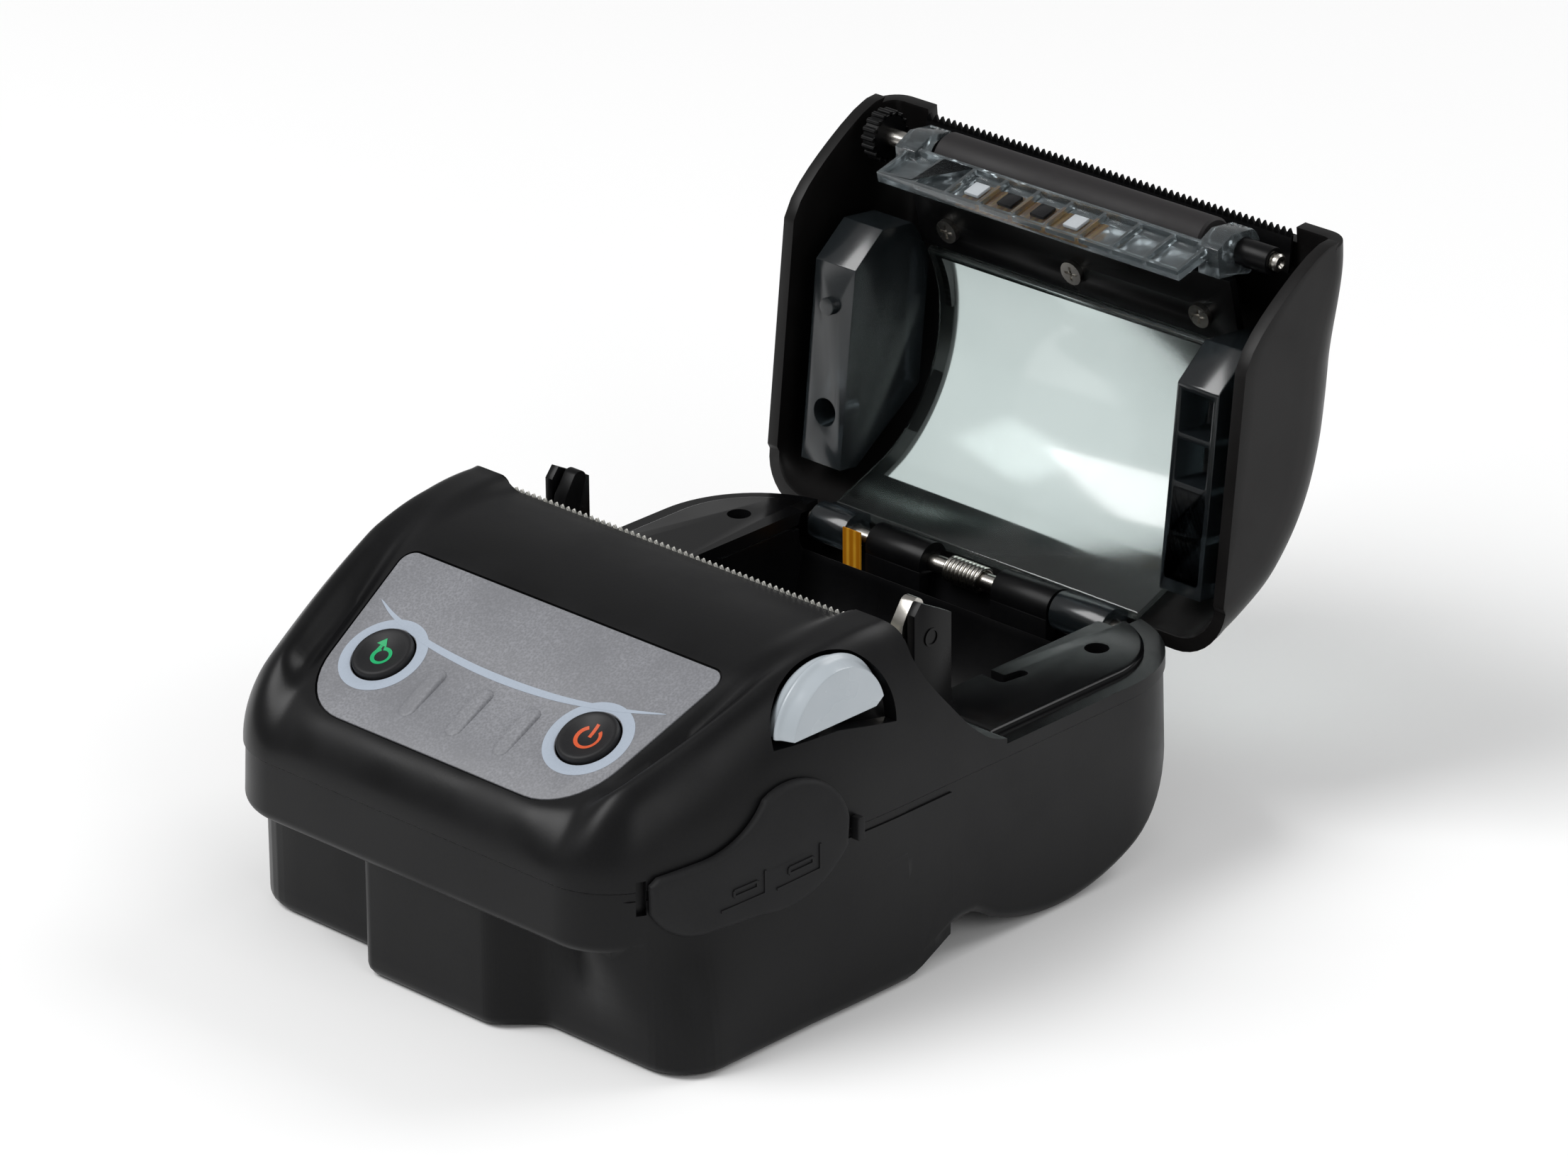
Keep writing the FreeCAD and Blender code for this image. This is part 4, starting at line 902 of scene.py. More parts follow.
@dataclass(frozen=True)
class CaseOutline:
    """Plan outline of the case at its seam, in millimetres."""

    half: float = 51.0
    front: float = -32.0
    rear: float = 96.0
    front_flat: float = 31.0
    corner_r: float = 13.0
    side_r: float = 150.0
    rear_r: float = 20.0
    spine: Pair = (-10.0, 74.0)
    notch_y: Pair = (-24.9, -23.4)
    notch_z: Pair = (26.6, 32.2)
    notch_deep: float = 1.3

    @property
    def corner(self) -> np.ndarray:
        """Middle of the round front corner."""
        return np.array([self.front_flat, self.front + self.corner_r])

    @property
    def side(self) -> np.ndarray:
        """Middle of the long side curve.

        Returns:
            Its place in plan.
        """
        reach = self.side_r - self.half + self.front_flat
        rise = math.sqrt((self.side_r - self.corner_r) ** 2 - reach ** 2)
        return np.array([self.half - self.side_r, self.corner[1] + rise])

    @property
    def meet(self) -> float:
        """Angle at which the corner meets the side curve."""
        way = self.corner - self.side
        return math.atan2(way[1], way[0])

    def right(self, inset: float = 0.0) -> np.ndarray:
        """Right half of the outline.

        Args:
            inset: How far it is moved inwards.

        Returns:
            Points from the middle of the front to the middle of the back.
        """
        rear = np.array([self.half - self.rear_r, self.rear - self.rear_r])

        def bend(centre: np.ndarray, r: float, start: float, end: float, steps: int) -> np.ndarray:
            """Points on one round of the outline."""
            t = np.linspace(start, end, steps, endpoint=False)
            return np.column_stack([centre[0] + r * np.cos(t), centre[1] + r * np.sin(t)])

        front = self.front + inset
        flat = np.column_stack([np.linspace(0, self.front_flat, 18, endpoint=False), np.full(18, front)])
        corner = bend(self.corner, self.corner_r - inset, -math.pi / 2, self.meet, 22)
        side = bend(self.side, self.side_r - inset, self.meet, 0, 34)
        wall_y = np.linspace(self.side[1], rear[1], 30, endpoint=False)
        wall = np.column_stack([np.full(30, self.half - inset), wall_y])
        turn = bend(rear, self.rear_r - inset, 0, math.pi / 2, 20)
        back = np.column_stack([np.linspace(rear[0], 0, 10), np.full(10, self.rear - inset)])
        return np.vstack([flat, corner, side, wall, turn, back])

    def ring(self, inset: float = 0.0) -> np.ndarray:
        """Whole outline, once round.

        Args:
            inset: How far inside the wall's outside it runs.

        Returns:
            The points in plan.
        """
        right = self.right(inset)
        left = right[-2:0:-1] * [-1, 1]
        return np.vstack([right, left])

    def side_x(self, y: np.ndarray | float) -> np.ndarray:
        """Half width at a place along Y."""
        right = self.right()
        return np.interp(y, right[17:, 1], right[17:, 0])

    def cap_notch(self) -> Thing:
        """Small dark notch in the right wall at the front end of the socket cap.

        Returns:
            The cutting tool.
        """
        front, rear = self.notch_y
        low, high = (float(v) for v in self.side_x(np.array(self.notch_y)))
        deep = self.notch_deep
        outline = [(low - deep, front), (high - deep, rear), (high + 4, rear - 3), (low + 4, front - 3)]
        return prism("tool", outline, Axis.Z, *self.notch_z)

    def depth(self, x: np.ndarray, y: np.ndarray, inset: float = 0.0) -> np.ndarray:
        """How far inside the outline each place is.

        Args:
            x: Places across.
            y: Places along.
            inset: How far the outline is moved inwards.

        Returns:
            Distances in millimetres.
        """
        ax = np.abs(x)
        best = np.minimum(np.minimum(y - self.front, self.rear - y), self.half - ax)
        for centre, r, start, end in (
            (self.corner, self.corner_r, -math.pi / 2, self.meet),
            (self.side, self.side_r, self.meet, 0.0),
            (np.array([self.half - self.rear_r, self.rear - self.rear_r]), self.rear_r, 0.0, math.pi / 2),
        ):
            angle = np.arctan2(y - centre[1], ax - centre[0])
            inside = (angle >= start) & (angle <= end)
            best = np.where(inside, np.minimum(best, r - np.hypot(ax - centre[0], y - centre[1])), best)
        return np.maximum(best - inset, 0)

    def domed(self, name: str, height: Callable[[np.ndarray, np.ndarray, float], np.ndarray],
              base: float, lip: float, inset: float = 0.0, rings: int = 58) -> Thing:
        """Closed solid from the outline to its spine with a sculpted face on one side.

        Args:
            name: The object's name.
            height: Gives the sculpted face's Z from X, Y and the inset.
            base: Z of the flat side.
            lip: Size of the small chamfer at the flat side.
            inset: How far the outline is moved inwards.
            rings: Rows of points between the outline and the spine.

        Returns:
            The solid.
        """
        edge = self.ring(inset)
        spine = np.column_stack([np.zeros(len(edge)), np.clip(edge[:, 1], *self.spine)])
        rows = [np.column_stack([self.ring(inset + lip), np.full(len(edge), base)])]
        for share in np.linspace(0, 1, rings) ** 1.7:
            flat = edge + (spine - edge) * share
            rows.append(np.column_stack([flat, height(flat[:, 0], flat[:, 1], inset)]))
        count = len(edge)
        return mesh_thing(name, np.vstack(rows), [list(range(count))] + bands(len(rows), count))


OUTLINE = CaseOutline()


def hinge_room(y: float, z: float, wide: float, tight: float) -> list[Thing]:
    """Room for the cover's hinge: wide above it, and close round the cover's sleeves below it.

    Args:
        y: The hinge's place along Y.
        z: Its height.
        wide: Radius above.
        tight: Radius round the sleeves.

    Returns:
        The cutting tools.
    """
    half, rod, sleeves = 35.2, 1.8, ((-33.4, -24.6), (19.6, 31.4))
    turns = np.radians(np.linspace(-28.0, 192.0, 45))
    above = [(y, z - rod)] + [(y + wide * math.cos(t), z + wide * math.sin(t)) for t in turns]
    tools = [prism("tool", outline, Axis.X, -half, half) for outline in (above, circle(y, z, rod))]
    return tools + [prism("tool", circle(y, z, tight, 48), Axis.X, *span) for span in sleeves]


@dataclass(frozen=True)
class PanelPlane:
    """The sloping plane of the key panel."""

    top_y: float = 2.5
    top_z: float = 54.2
    low_y: float = -26.8
    angle: float = 26.0
    half_top: float = 34.5
    half_low: float = 29.5
    top_r: float = 2.2
    low_r: float = 11.0

    @property
    def normal(self) -> Vector:
        """Direction square to the panel, outwards."""
        t = math.radians(self.angle)
        return Vector((0, -math.sin(t), math.cos(t)))

    def z(self, y: np.ndarray | float) -> np.ndarray | float:
        """Height of the plane at a place along Y."""
        return self.top_z + math.tan(math.radians(self.angle)) * (y - self.top_y)

    def at(self, x: float, y: float, lift: float = 0.0) -> Vector:
        """Place on the panel, lifted square to it."""
        return Vector((x, y, self.z(y))) + self.normal * lift

    def outline(self, grow: float = 0.0) -> list[Pair]:
        """Plan outline of the printed film, grown all round.

        Args:
            grow: How far it is grown.

        Returns:
            The outline's points.
        """
        wide, narrow = self.half_top + grow, self.half_low + grow
        top, low = self.top_y + grow, self.low_y - grow
        return filleted([
            (narrow, low, self.low_r + grow), (wide, top, self.top_r + grow),
            (-wide, top, self.top_r + grow), (-narrow, low, self.low_r + grow)], 10)

    def slab(self, name: str, outline: Sequence[Pair], top: float, bottom: float) -> Thing:
        """Solid parallel to the panel.

        Args:
            name: The object's name.
            outline: Its plan outline.
            top: Height of its top above the panel.
            bottom: Height of its bottom above the panel.

        Returns:
            The solid.
        """
        rings = [np.array([self.at(x, y, lift) for x, y in outline]) for lift in (bottom, top)]
        return lofted(name, rings)


PANEL = PanelPlane()


@dataclass
class UpperCase:
    """Hood, raised shoulders and the rims beside the roll bay."""

    seam: float = SEAM
    wall: float = WALL
    lip: float = 0.35
    hood_start: float = 3.7
    hood_rear: Pair = (26.3, 56.3)
    crown: Pair = (14.4, 56.9)
    shoulder_x: float = 38.0
    shoulder_rise: float = 2.0
    shoulder_rear: float = 28.3
    rim_z: float = 33.8
    bay_half: float = 32.3
    bay_wide: float = 46.5
    rim_front: Pair = (48.7, 53.8)
    lever_axis: Pair = LEVER_AXIS
    lever_reach: float = 11.8
    lever_sill: float = 46.5
    lever_dip: float = 2.3
    lean: float = 8.2
    rim_start: Pair = (46.5, 31.5)
    shoulder_side: Pair = (34.0, 38.5)
    pillow: tuple[Pair, ...] = ((-30, 3.4), (-24, 3.2), (-8, 2.0), (6, 0.7), (16, 0.0))
    pillow_side: Pair = (30.0, 37.0)
    pillow_edge: Pair = (6.0, 11.5)
    valley: tuple[Pair, ...] = ((-30, 0.5), (-24, 1.3), (-8, 1.7), (4, 0.9), (12, 0.0))
    valley_side: Pair = (30.5, 36.0)
    valley_edge: Pair = (11.2, 1.8)
    key_spots: tuple[Pair, Pair] = KEY_SPOTS
    key_hole: float = 5.3
    rim_hole: Triple = (39.0, 80.8, 2.0)
    hinge: tuple[float, ...] = (*HINGE_AXIS, *HINGE_ROOM)
    slope_line: tuple[Pair, ...] = (
        (23.6, 60.6), (25.6, 58.9), (27.4, 57.2), (28.2, 55.4), (28.6, 52.3), (30.1, 49.0), (32.2, 46.0),
        (34.4, 43.3), (36.5, 40.8), (38.6, 38.5), (41.0, 36.4), (43.4, 34.8), (46.4, 33.8), (48.0, 33.8))
    ledge_start: float = 46.6
    ledge_drop: float = 0.95
    ledge: tuple[Pair, ...] = ((32.0, 3.3), (33.4, 3.4), (33.65, 3.6), (33.8, 4.0), (60.0, 4.0))
    lever_bowl: tuple[Pair, ...] = ((40.9, 0.5), (40.9, 5.0), (41.5, 8.0), (42.5, 10.0), (43.7, 11.1))
    rim_notch: tuple[Triple, ...] = (
        (31.0, 61.4, 0.0), (36.9, 61.0, 0.9), (37.8, 66.6, 0.9), (35.8, 66.9, 0.9), (35.2, 63.4, 0.5),
        (31.0, 63.6, 0.0))

    def middle_line(self, y: np.ndarray) -> np.ndarray:
        """Height of the hood along its middle.

        Args:
            y: Places along.

        Returns:
            Heights in millimetres.
        """
        start = (self.hood_start, float(PANEL.z(self.hood_start)))
        arc = np.array([start] + three_point_arc(start, self.crown, self.hood_rear, 24))
        return np.where(y < self.hood_start, PANEL.z(y), np.interp(y, arc[:, 0], arc[:, 1]))

    def top(self, x: np.ndarray, y: np.ndarray) -> np.ndarray:
        """Height of the hood before its edges are rounded.

        Args:
            x: Places across.
            y: Places along.

        Returns:
            Heights in millimetres.
        """
        ax = np.abs(x)
        d = OUTLINE.depth(x, y)
        rise = np.clip((y - self.hood_start) / (self.shoulder_rear - self.hood_start), 0, 1) ** 1.5
        rise = self.shoulder_rise * rise * smooth(*self.shoulder_side, ax)
        pillow = np.interp(y, *zip(*self.pillow))
        pillow = pillow * (1 - smooth(*self.pillow_edge, d)) * smooth(*self.pillow_side, ax)
        middle, spread = self.valley_edge
        valley = np.interp(y, *zip(*self.valley))
        valley = valley * np.exp(-((d - middle) / spread) ** 2) * smooth(*self.valley_side, ax)
        return self.middle_line(y) + rise + pillow - valley

    def rounding(self, x: np.ndarray, y: np.ndarray) -> np.ndarray:
        """Width of the rounded edge: narrow along the front, wide at the corners and sides."""
        front = (1 - smooth(22.0, 36.0, np.abs(x))) * (1 - smooth(-26.0, -18.0, y))
        return 8.2 - 3.4 * front

    def skin(self, x: np.ndarray, y: np.ndarray, inset: float) -> np.ndarray:
        """Height of the outside, or of the hollow when inset.

        Args:
            x: Places across.
            y: Places along.
            inset: Thickness taken off.

        Returns:
            Heights in millimetres.
        """
        base = self.seam + self.lip
        share = np.minimum(OUTLINE.depth(x, y, inset) / self.rounding(x, y), 1)
        top = self.top(x, y) - inset * 1.1
        return base + (top - base) * np.sqrt(np.maximum(1 - (1 - share) ** 2, 0))

    def wall_inset(self, y: float, z: float) -> float:
        """How far the side wall leans in at a place above the seam.

        Args:
            y: The place along.
            z: The height.

        Returns:
            The distance in from the plan outline.
        """
        base = self.seam + self.lip
        if z <= base:
            return 0.0
        x = float(OUTLINE.side_x(y)) - 4.0
        top = float(self.top(np.array([x]), np.array([y]))[0])
        share = min((z - base) / (top - base), 0.999)
        return self.lean * (1 - math.sqrt(1 - share ** 2))

    def slope(self, back: float, down: float) -> list[Pair]:
        """Side view of what is cut away behind the shoulders."""
        points = [(y - back, z - down) for y, z in spline(self.slope_line, 4)]
        return points + [(130, self.rim_z - down), (130, 80), (points[0][0], 80)]

    def rebate(self) -> Thing:
        """Ledge along the outside of the rims, which the cover's walls come down on.

        Returns:
            The cutting tool.
        """
        count = len(OUTLINE.ring())
        rings = [np.column_stack([OUTLINE.ring(inset), np.full(count, z)]) for z, inset in self.ledge]
        keep = lofted("tool", rings)
        tool = box((-80, self.ledge_start, self.rim_z - self.ledge_drop), (80, 130, 50))
        return combine(tool, [keep])

    def build(self) -> Thing:
        """Model the upper case.

        Returns:
            The case.
        """
        shell = OUTLINE.domed("upper_case_moulding", self.skin, self.seam, self.lip)
        core = OUTLINE.domed("core", self.skin, self.seam - 1, 0.0, self.wall)
        combine(core, [prism("tool", self.slope(self.wall, self.wall), Axis.X, -80, 80)])
        hood_y = self.hood_rear[0]
        wide, half = self.bay_wide, self.bay_half
        low_y, high_y = self.rim_front
        start = self.shoulder_rear - 0.2
        bay = [(-wide, start), (wide, start), (wide, 44.2), (41.5, 46.2), (half + 1.4, 52.2),
               (half, high_y), (half, 130), (-half, 130), (-half, high_y), (-wide, low_y)]
        tools = [
            core,
            prism("tool", self.slope(0, 0), Axis.X, -80, 80),
            box((-self.shoulder_x, hood_y, 20), (self.shoulder_x, self.shoulder_rear + 1, 80)),
            prism("tool", bay, Axis.Z, 20, 80),
            PANEL.slab("tool", PANEL.outline(0.3), 8, -0.55),
        ]
        axis_y, sill_z = self.lever_axis[0], self.lever_sill
        sill = trace([(-20, sill_z), (axis_y, sill_z), (axis_y + 13, sill_z - self.lever_dip),
                      (45, sill_z - self.lever_dip), (45, 80), (-20, 80)])
        reach = self.lever_reach
        bowl = [*self.lever_bowl, (45.2, reach), (80, reach), (80, self.lever_bowl[0][1])]
        slot = turned("tool", bowl, (0, *self.lever_axis), (1, 0, 0), 96)
        combine(slot, [prism("tool", sill, Axis.X, 30, 90)], Join.SHARE)
        tools.append(slot)
        for x, y in self.key_spots:
            well = [(-9, self.key_hole), (4, self.key_hole)]
            tools.append(turned("tool", well, PANEL.at(x, y), PANEL.normal))
        hole_x, hole_y, hole_r = self.rim_hole
        for side in (-1, 1):
            tools.append(prism("tool", circle(side * hole_x, hole_y, hole_r), Axis.Z, 20, 50))
        tools.append(prism("tool", filleted(self.rim_notch), Axis.Z, 20, 50))
        tools += hinge_room(*self.hinge) + [self.rebate(), OUTLINE.cap_notch()]
        combine(shell, tools)
        dress(shell, CASE_ABS)
        rim_y, rim_z = self.rim_start
        split_finish(shell, RIM_ABS, lambda at, way: at[1] > rim_y and at[2] > rim_z and way[2] > 0.4)
        return settle(shell, "base", "black_case", "upper_case")


@dataclass
class LowerCase:
    """Round belly, stepped foot block and the walls up to the seam."""

    seam: float = SEAM
    wall: float = WALL
    lip: float = 0.35
    foot_front: float = -24.0
    foot_right: float = 50.7
    foot_left: float = -45.5
    pad: Triple = (-12.0, 15.2, -30.0)
    foot_round: float = 2.0
    corner_middle: Pair = (20.0, -5.0)
    edge_r: float = 2.2
    belly: Triple = (60.0, 36.7, 36.7)
    hinge: tuple[float, ...] = (*HINGE_AXIS, *HINGE_ROOM)
    screw_spots: tuple[Pair, ...] = ((-37.0, -17.5), (38.0, -18.5), (-43.8, 66.0), (43.8, 66.0))
    port: tuple[Pair, Pair] = ((-12.8, 6.3), (23.8, 30.0))
    front_line: tuple[Pair, ...] = (
        (24.7, 20.0), (25.0, 1.1), (34.0, 5.4), (35.2, 6.1), (40.6, 6.1), (41.8, 5.2), (44.0, 4.0))
    corner_turn: Triple = (-74.0, -44.0, 60.0)
    corner_rise: tuple[Pair, Pair] = ((4.0, 21.5), (1.0, 29.5))

    def underside(self, y: np.ndarray) -> np.ndarray:
        """Height of the underside, without the foot block.

        Args:
            y: Places along.

        Returns:
            Heights in millimetres.
        """
        middle, high, r = self.belly
        round_z = high - np.sqrt(np.maximum(r ** 2 - (y - middle) ** 2, 0.25))
        front = np.interp(y, *zip(*self.front_line))
        return np.where(y < self.front_line[-1][0], front, round_z)

    def skin(self, x: np.ndarray, y: np.ndarray, inset: float) -> np.ndarray:
        """Height of the outside of the underside with its rounded edge.

        Args:
            x: Places across.
            y: Places along.
            inset: Thickness taken off.

        Returns:
            Heights in millimetres.
        """
        floor = np.minimum(self.underside(y) + inset, self.seam - 0.4)
        r = np.minimum(self.edge_r, (self.seam - floor) * 0.8)
        share = np.minimum(OUTLINE.depth(x, y, inset) / r, 1)
        return floor + r * (1 - np.sqrt(np.maximum(1 - (1 - share) ** 2, 0)))

    def foot_ring(self, z: float, inset: float) -> np.ndarray:
        """Outline of the foot block at a height; its right front corner flows up into the case wall.

        Args:
            z: The height.
            inset: How far it is moved inwards.

        Returns:
            The outline's points.
        """
        pad_left, pad_right, pad_front = self.pad
        left, right, front = self.foot_left + inset, self.foot_right - inset, self.foot_front + inset
        ring = np.array(filleted([
            (left, 34.0, 0.0), (left, front, 9.0), (pad_left - 3.5, front, 2.0),
            (pad_left + inset, pad_front + inset, 2.8), (pad_right - inset, pad_front + inset, 4.6),
            (pad_right + 5.6, front, 4.2), (right, front, 8.0), (right, -6.0, 0.0), (right, 4.0, 0.0),
            (right + 0.25, 14.0, 0.0), (right + 0.33, 22.0, 0.0), (right + 0.33, 27.0, 0.0),
            (right + 0.15, 34.0, 0.0)], 8))
        after = np.roll(ring, -1, axis=0)
        ring = np.vstack([a + (b - a) * s for a, b in zip(ring, after) for s in np.arange(6) / 6])
        middle = np.array(self.corner_middle)
        rim = OUTLINE.ring(inset + 0.02) - middle
        turn = np.arctan2(rim[:, 1], rim[:, 0])
        order = np.argsort(turn)
        flat = ring - middle
        here, angle = np.hypot(*flat.T), np.arctan2(flat[:, 1], flat[:, 0])
        reach = np.interp(angle, turn[order], np.hypot(*rim.T)[order])
        outwards, inwards = (smooth(*heights, z) for heights in self.corner_rise)
        rise = np.where(reach > here, outwards, inwards)
        first, full, last = self.corner_turn
        share = smooth(first, full, np.degrees(angle)) * (np.degrees(angle) < last) * rise
        ring = middle + flat * (1 + (reach / here - 1) * share)[:, None]
        return np.column_stack([ring, np.full(len(ring), z)])

    def foot(self) -> Thing:
        """Foot block with a rounded lower edge.

        Returns:
            The block, not yet joined to the case.
        """
        r = self.foot_round
        turns = np.linspace(0, math.pi / 2, 5)[::-1]
        rings = [self.foot_ring(r * (1 - math.sin(t)), r * (1 - math.cos(t))) for t in turns]
        rings += [self.foot_ring(z, 0) for z in np.linspace(4, 29, 14)]
        foot = lofted("tool", rings)
        return combine(foot, [prism("tool", [(22, -3), (60, -3), (60, 17), (23, -0.1)], Axis.X, -90, 90)])

    def build(self) -> Thing:
        """Model the lower case.

        Returns:
            The case.
        """
        shell = OUTLINE.domed("lower_case_moulding", self.skin, self.seam, self.lip)
        combine(shell, [self.foot()], Join.UNITE)
        core = OUTLINE.domed("core", self.skin, self.seam + 2, 0.0, self.wall)
        bosses = [prism("tool", circle(x, y, 3.4), Axis.Z, -5, 40) for x, y in self.screw_spots]
        combine(core, bosses)
        tools = [core, OUTLINE.cap_notch()] + hinge_room(*self.hinge)
        tools += [prism("tool", circle(x, y, 2.9), Axis.Z, -5, 9) for x, y in self.screw_spots]
        (port_y0, port_y1), (port_z0, port_z1) = self.port
        tools.append(box((38, port_y0, port_z0), (70, port_y1, port_z1)))
        combine(shell, tools)
        dress(shell, CASE_ABS)
        return settle(shell, "base", "black_case", "lower_case")


# Panel and keys


@dataclass
class KeyPanel:
    """Printed film with its rings, arc stripe and three raised ovals, and the two keys."""

    key_spots: tuple[Pair, Pair] = KEY_SPOTS
    hole_r: float = 5.35
    ring_r: float = 7.4
    ink: float = 0.04
    oval_xs: Triple = (-10.2, 0.0, 10.2)
    oval_y: float = -18.2
    oval_half: float = 3.6
    oval_r: float = 1.5
    oval_rise: float = 0.6
    oval_shape: tuple[Pair, ...] = (
        (1.0, -0.2), (0.98, 0.15), (0.9, 0.72), (0.78, 0.93), (0.5, 1.0), (0.0, 1.0))
    stripe: tuple[Pair, ...] = ((-30.9, -6.8), (-26.0, -8.6), (-17.6, -10.4), (-8.0, -11.3), (0.2, -11.5),
                                (8.0, -11.2), (14.8, -10.5), (23.0, -9.0), (30.7, -6.9))
    stripe_width: float = 1.15

    def film(self) -> Thing:
        """Grey film with its key holes and raised ovals.

        Returns:
            The film.
        """
        sheet = PANEL.slab("key_panel_film", PANEL.outline(0), 0.0, -0.5)
        holes = [turned("tool", [(-3, self.hole_r), (3, self.hole_r)], PANEL.at(x, y), PANEL.normal)
                 for x, y in self.key_spots]
        soften(combine(sheet, holes), 0.12, 2)
        return joined("key_panel_film", [sheet] + [self.oval(x) for x in self.oval_xs])

    def oval(self, x: float) -> Thing:
        """One raised oval, highest at its upper end and fading into the film below.

        Args:
            x: Its place across the panel.

        Returns:
            The oval.
        """
        slant = math.cos(math.radians(PANEL.angle))
        rows = []
        for share, rise in self.oval_shape:
            row = []
            for i in range(36):
                t = 2 * math.pi * i / 36
                u = self.oval_r * share * math.cos(t)
                v = 0.0
                if abs(math.sin(t)) > 1e-6:
                    straight = self.oval_half * share ** 0.35
                    v = self.oval_r * share * math.sin(t) + straight * math.copysign(1, math.sin(t))
                fade = 0.3 + 0.7 * float(smooth(-self.oval_half, self.oval_half * 0.5, v))
                lift = self.oval_rise * rise * fade
                row.append(PANEL.at(x + u, self.oval_y + v * slant, lift))
            rows.append(np.array(row))
        return lofted("oval", rows)

    def rings(self) -> list[Thing]:
        """Pale printed ring round each key.

        Returns:
            The rings.
        """
        made = []
        slant = math.cos(math.radians(PANEL.angle))
        for x, y in self.key_spots:
            profile = [(-0.2, self.hole_r + 0.12), (self.ink, self.hole_r + 0.12), (self.ink, self.ring_r),
                       (-0.2, self.ring_r)]
            count = 72
            turns = np.linspace(0, 2 * math.pi, count, endpoint=False)
            rows = [np.array([PANEL.at(x + r * math.cos(t), y + r * math.sin(t) * slant, lift)
                              for t in turns]) for lift, r in profile]
            points = np.vstack(rows + rows[:1])
            faces = bands(len(rows) + 1, count)
            made.append(mesh_thing("ring", points, faces))
        return made

    def stripe_print(self) -> Thing:
        """Pale arc stripe that thins out at both ends.

        Returns:
            The stripe.
        """
        line = spline(self.stripe, 10)
        way = np.gradient(line, axis=0)
        side = np.column_stack([-way[:, 1], way[:, 0]]) / np.linalg.norm(way, axis=1)[:, None]
        share = np.linspace(0, 1, len(line))
        width = self.stripe_width * np.sin(np.pi * share) ** 0.7 / 2 + 0.04
        edge = [tuple(p) for p in line + side * width[:, None]]
        edge += [tuple(p) for p in (line - side * width[:, None])[::-1]]
        return PANEL.slab("stripe", edge, self.ink + 0.02, -0.2)

    def build(self) -> list[Thing]:
        """Model the film and its print.

        Returns:
            The film and the print.
        """
        film = dress(self.film(), PANEL_FILM, 60)
        settle(film, "base", "panel_grey", "panel_sheet")
        print_ = dress(joined("key_panel_print", self.rings() + [self.stripe_print()]), PALE_INK)
        settle(print_, "base", "panel_grey")
        return [film, print_]


class Sign(Enum):
    """What a key does."""

    FEED = "feed"
    POWER = "power"


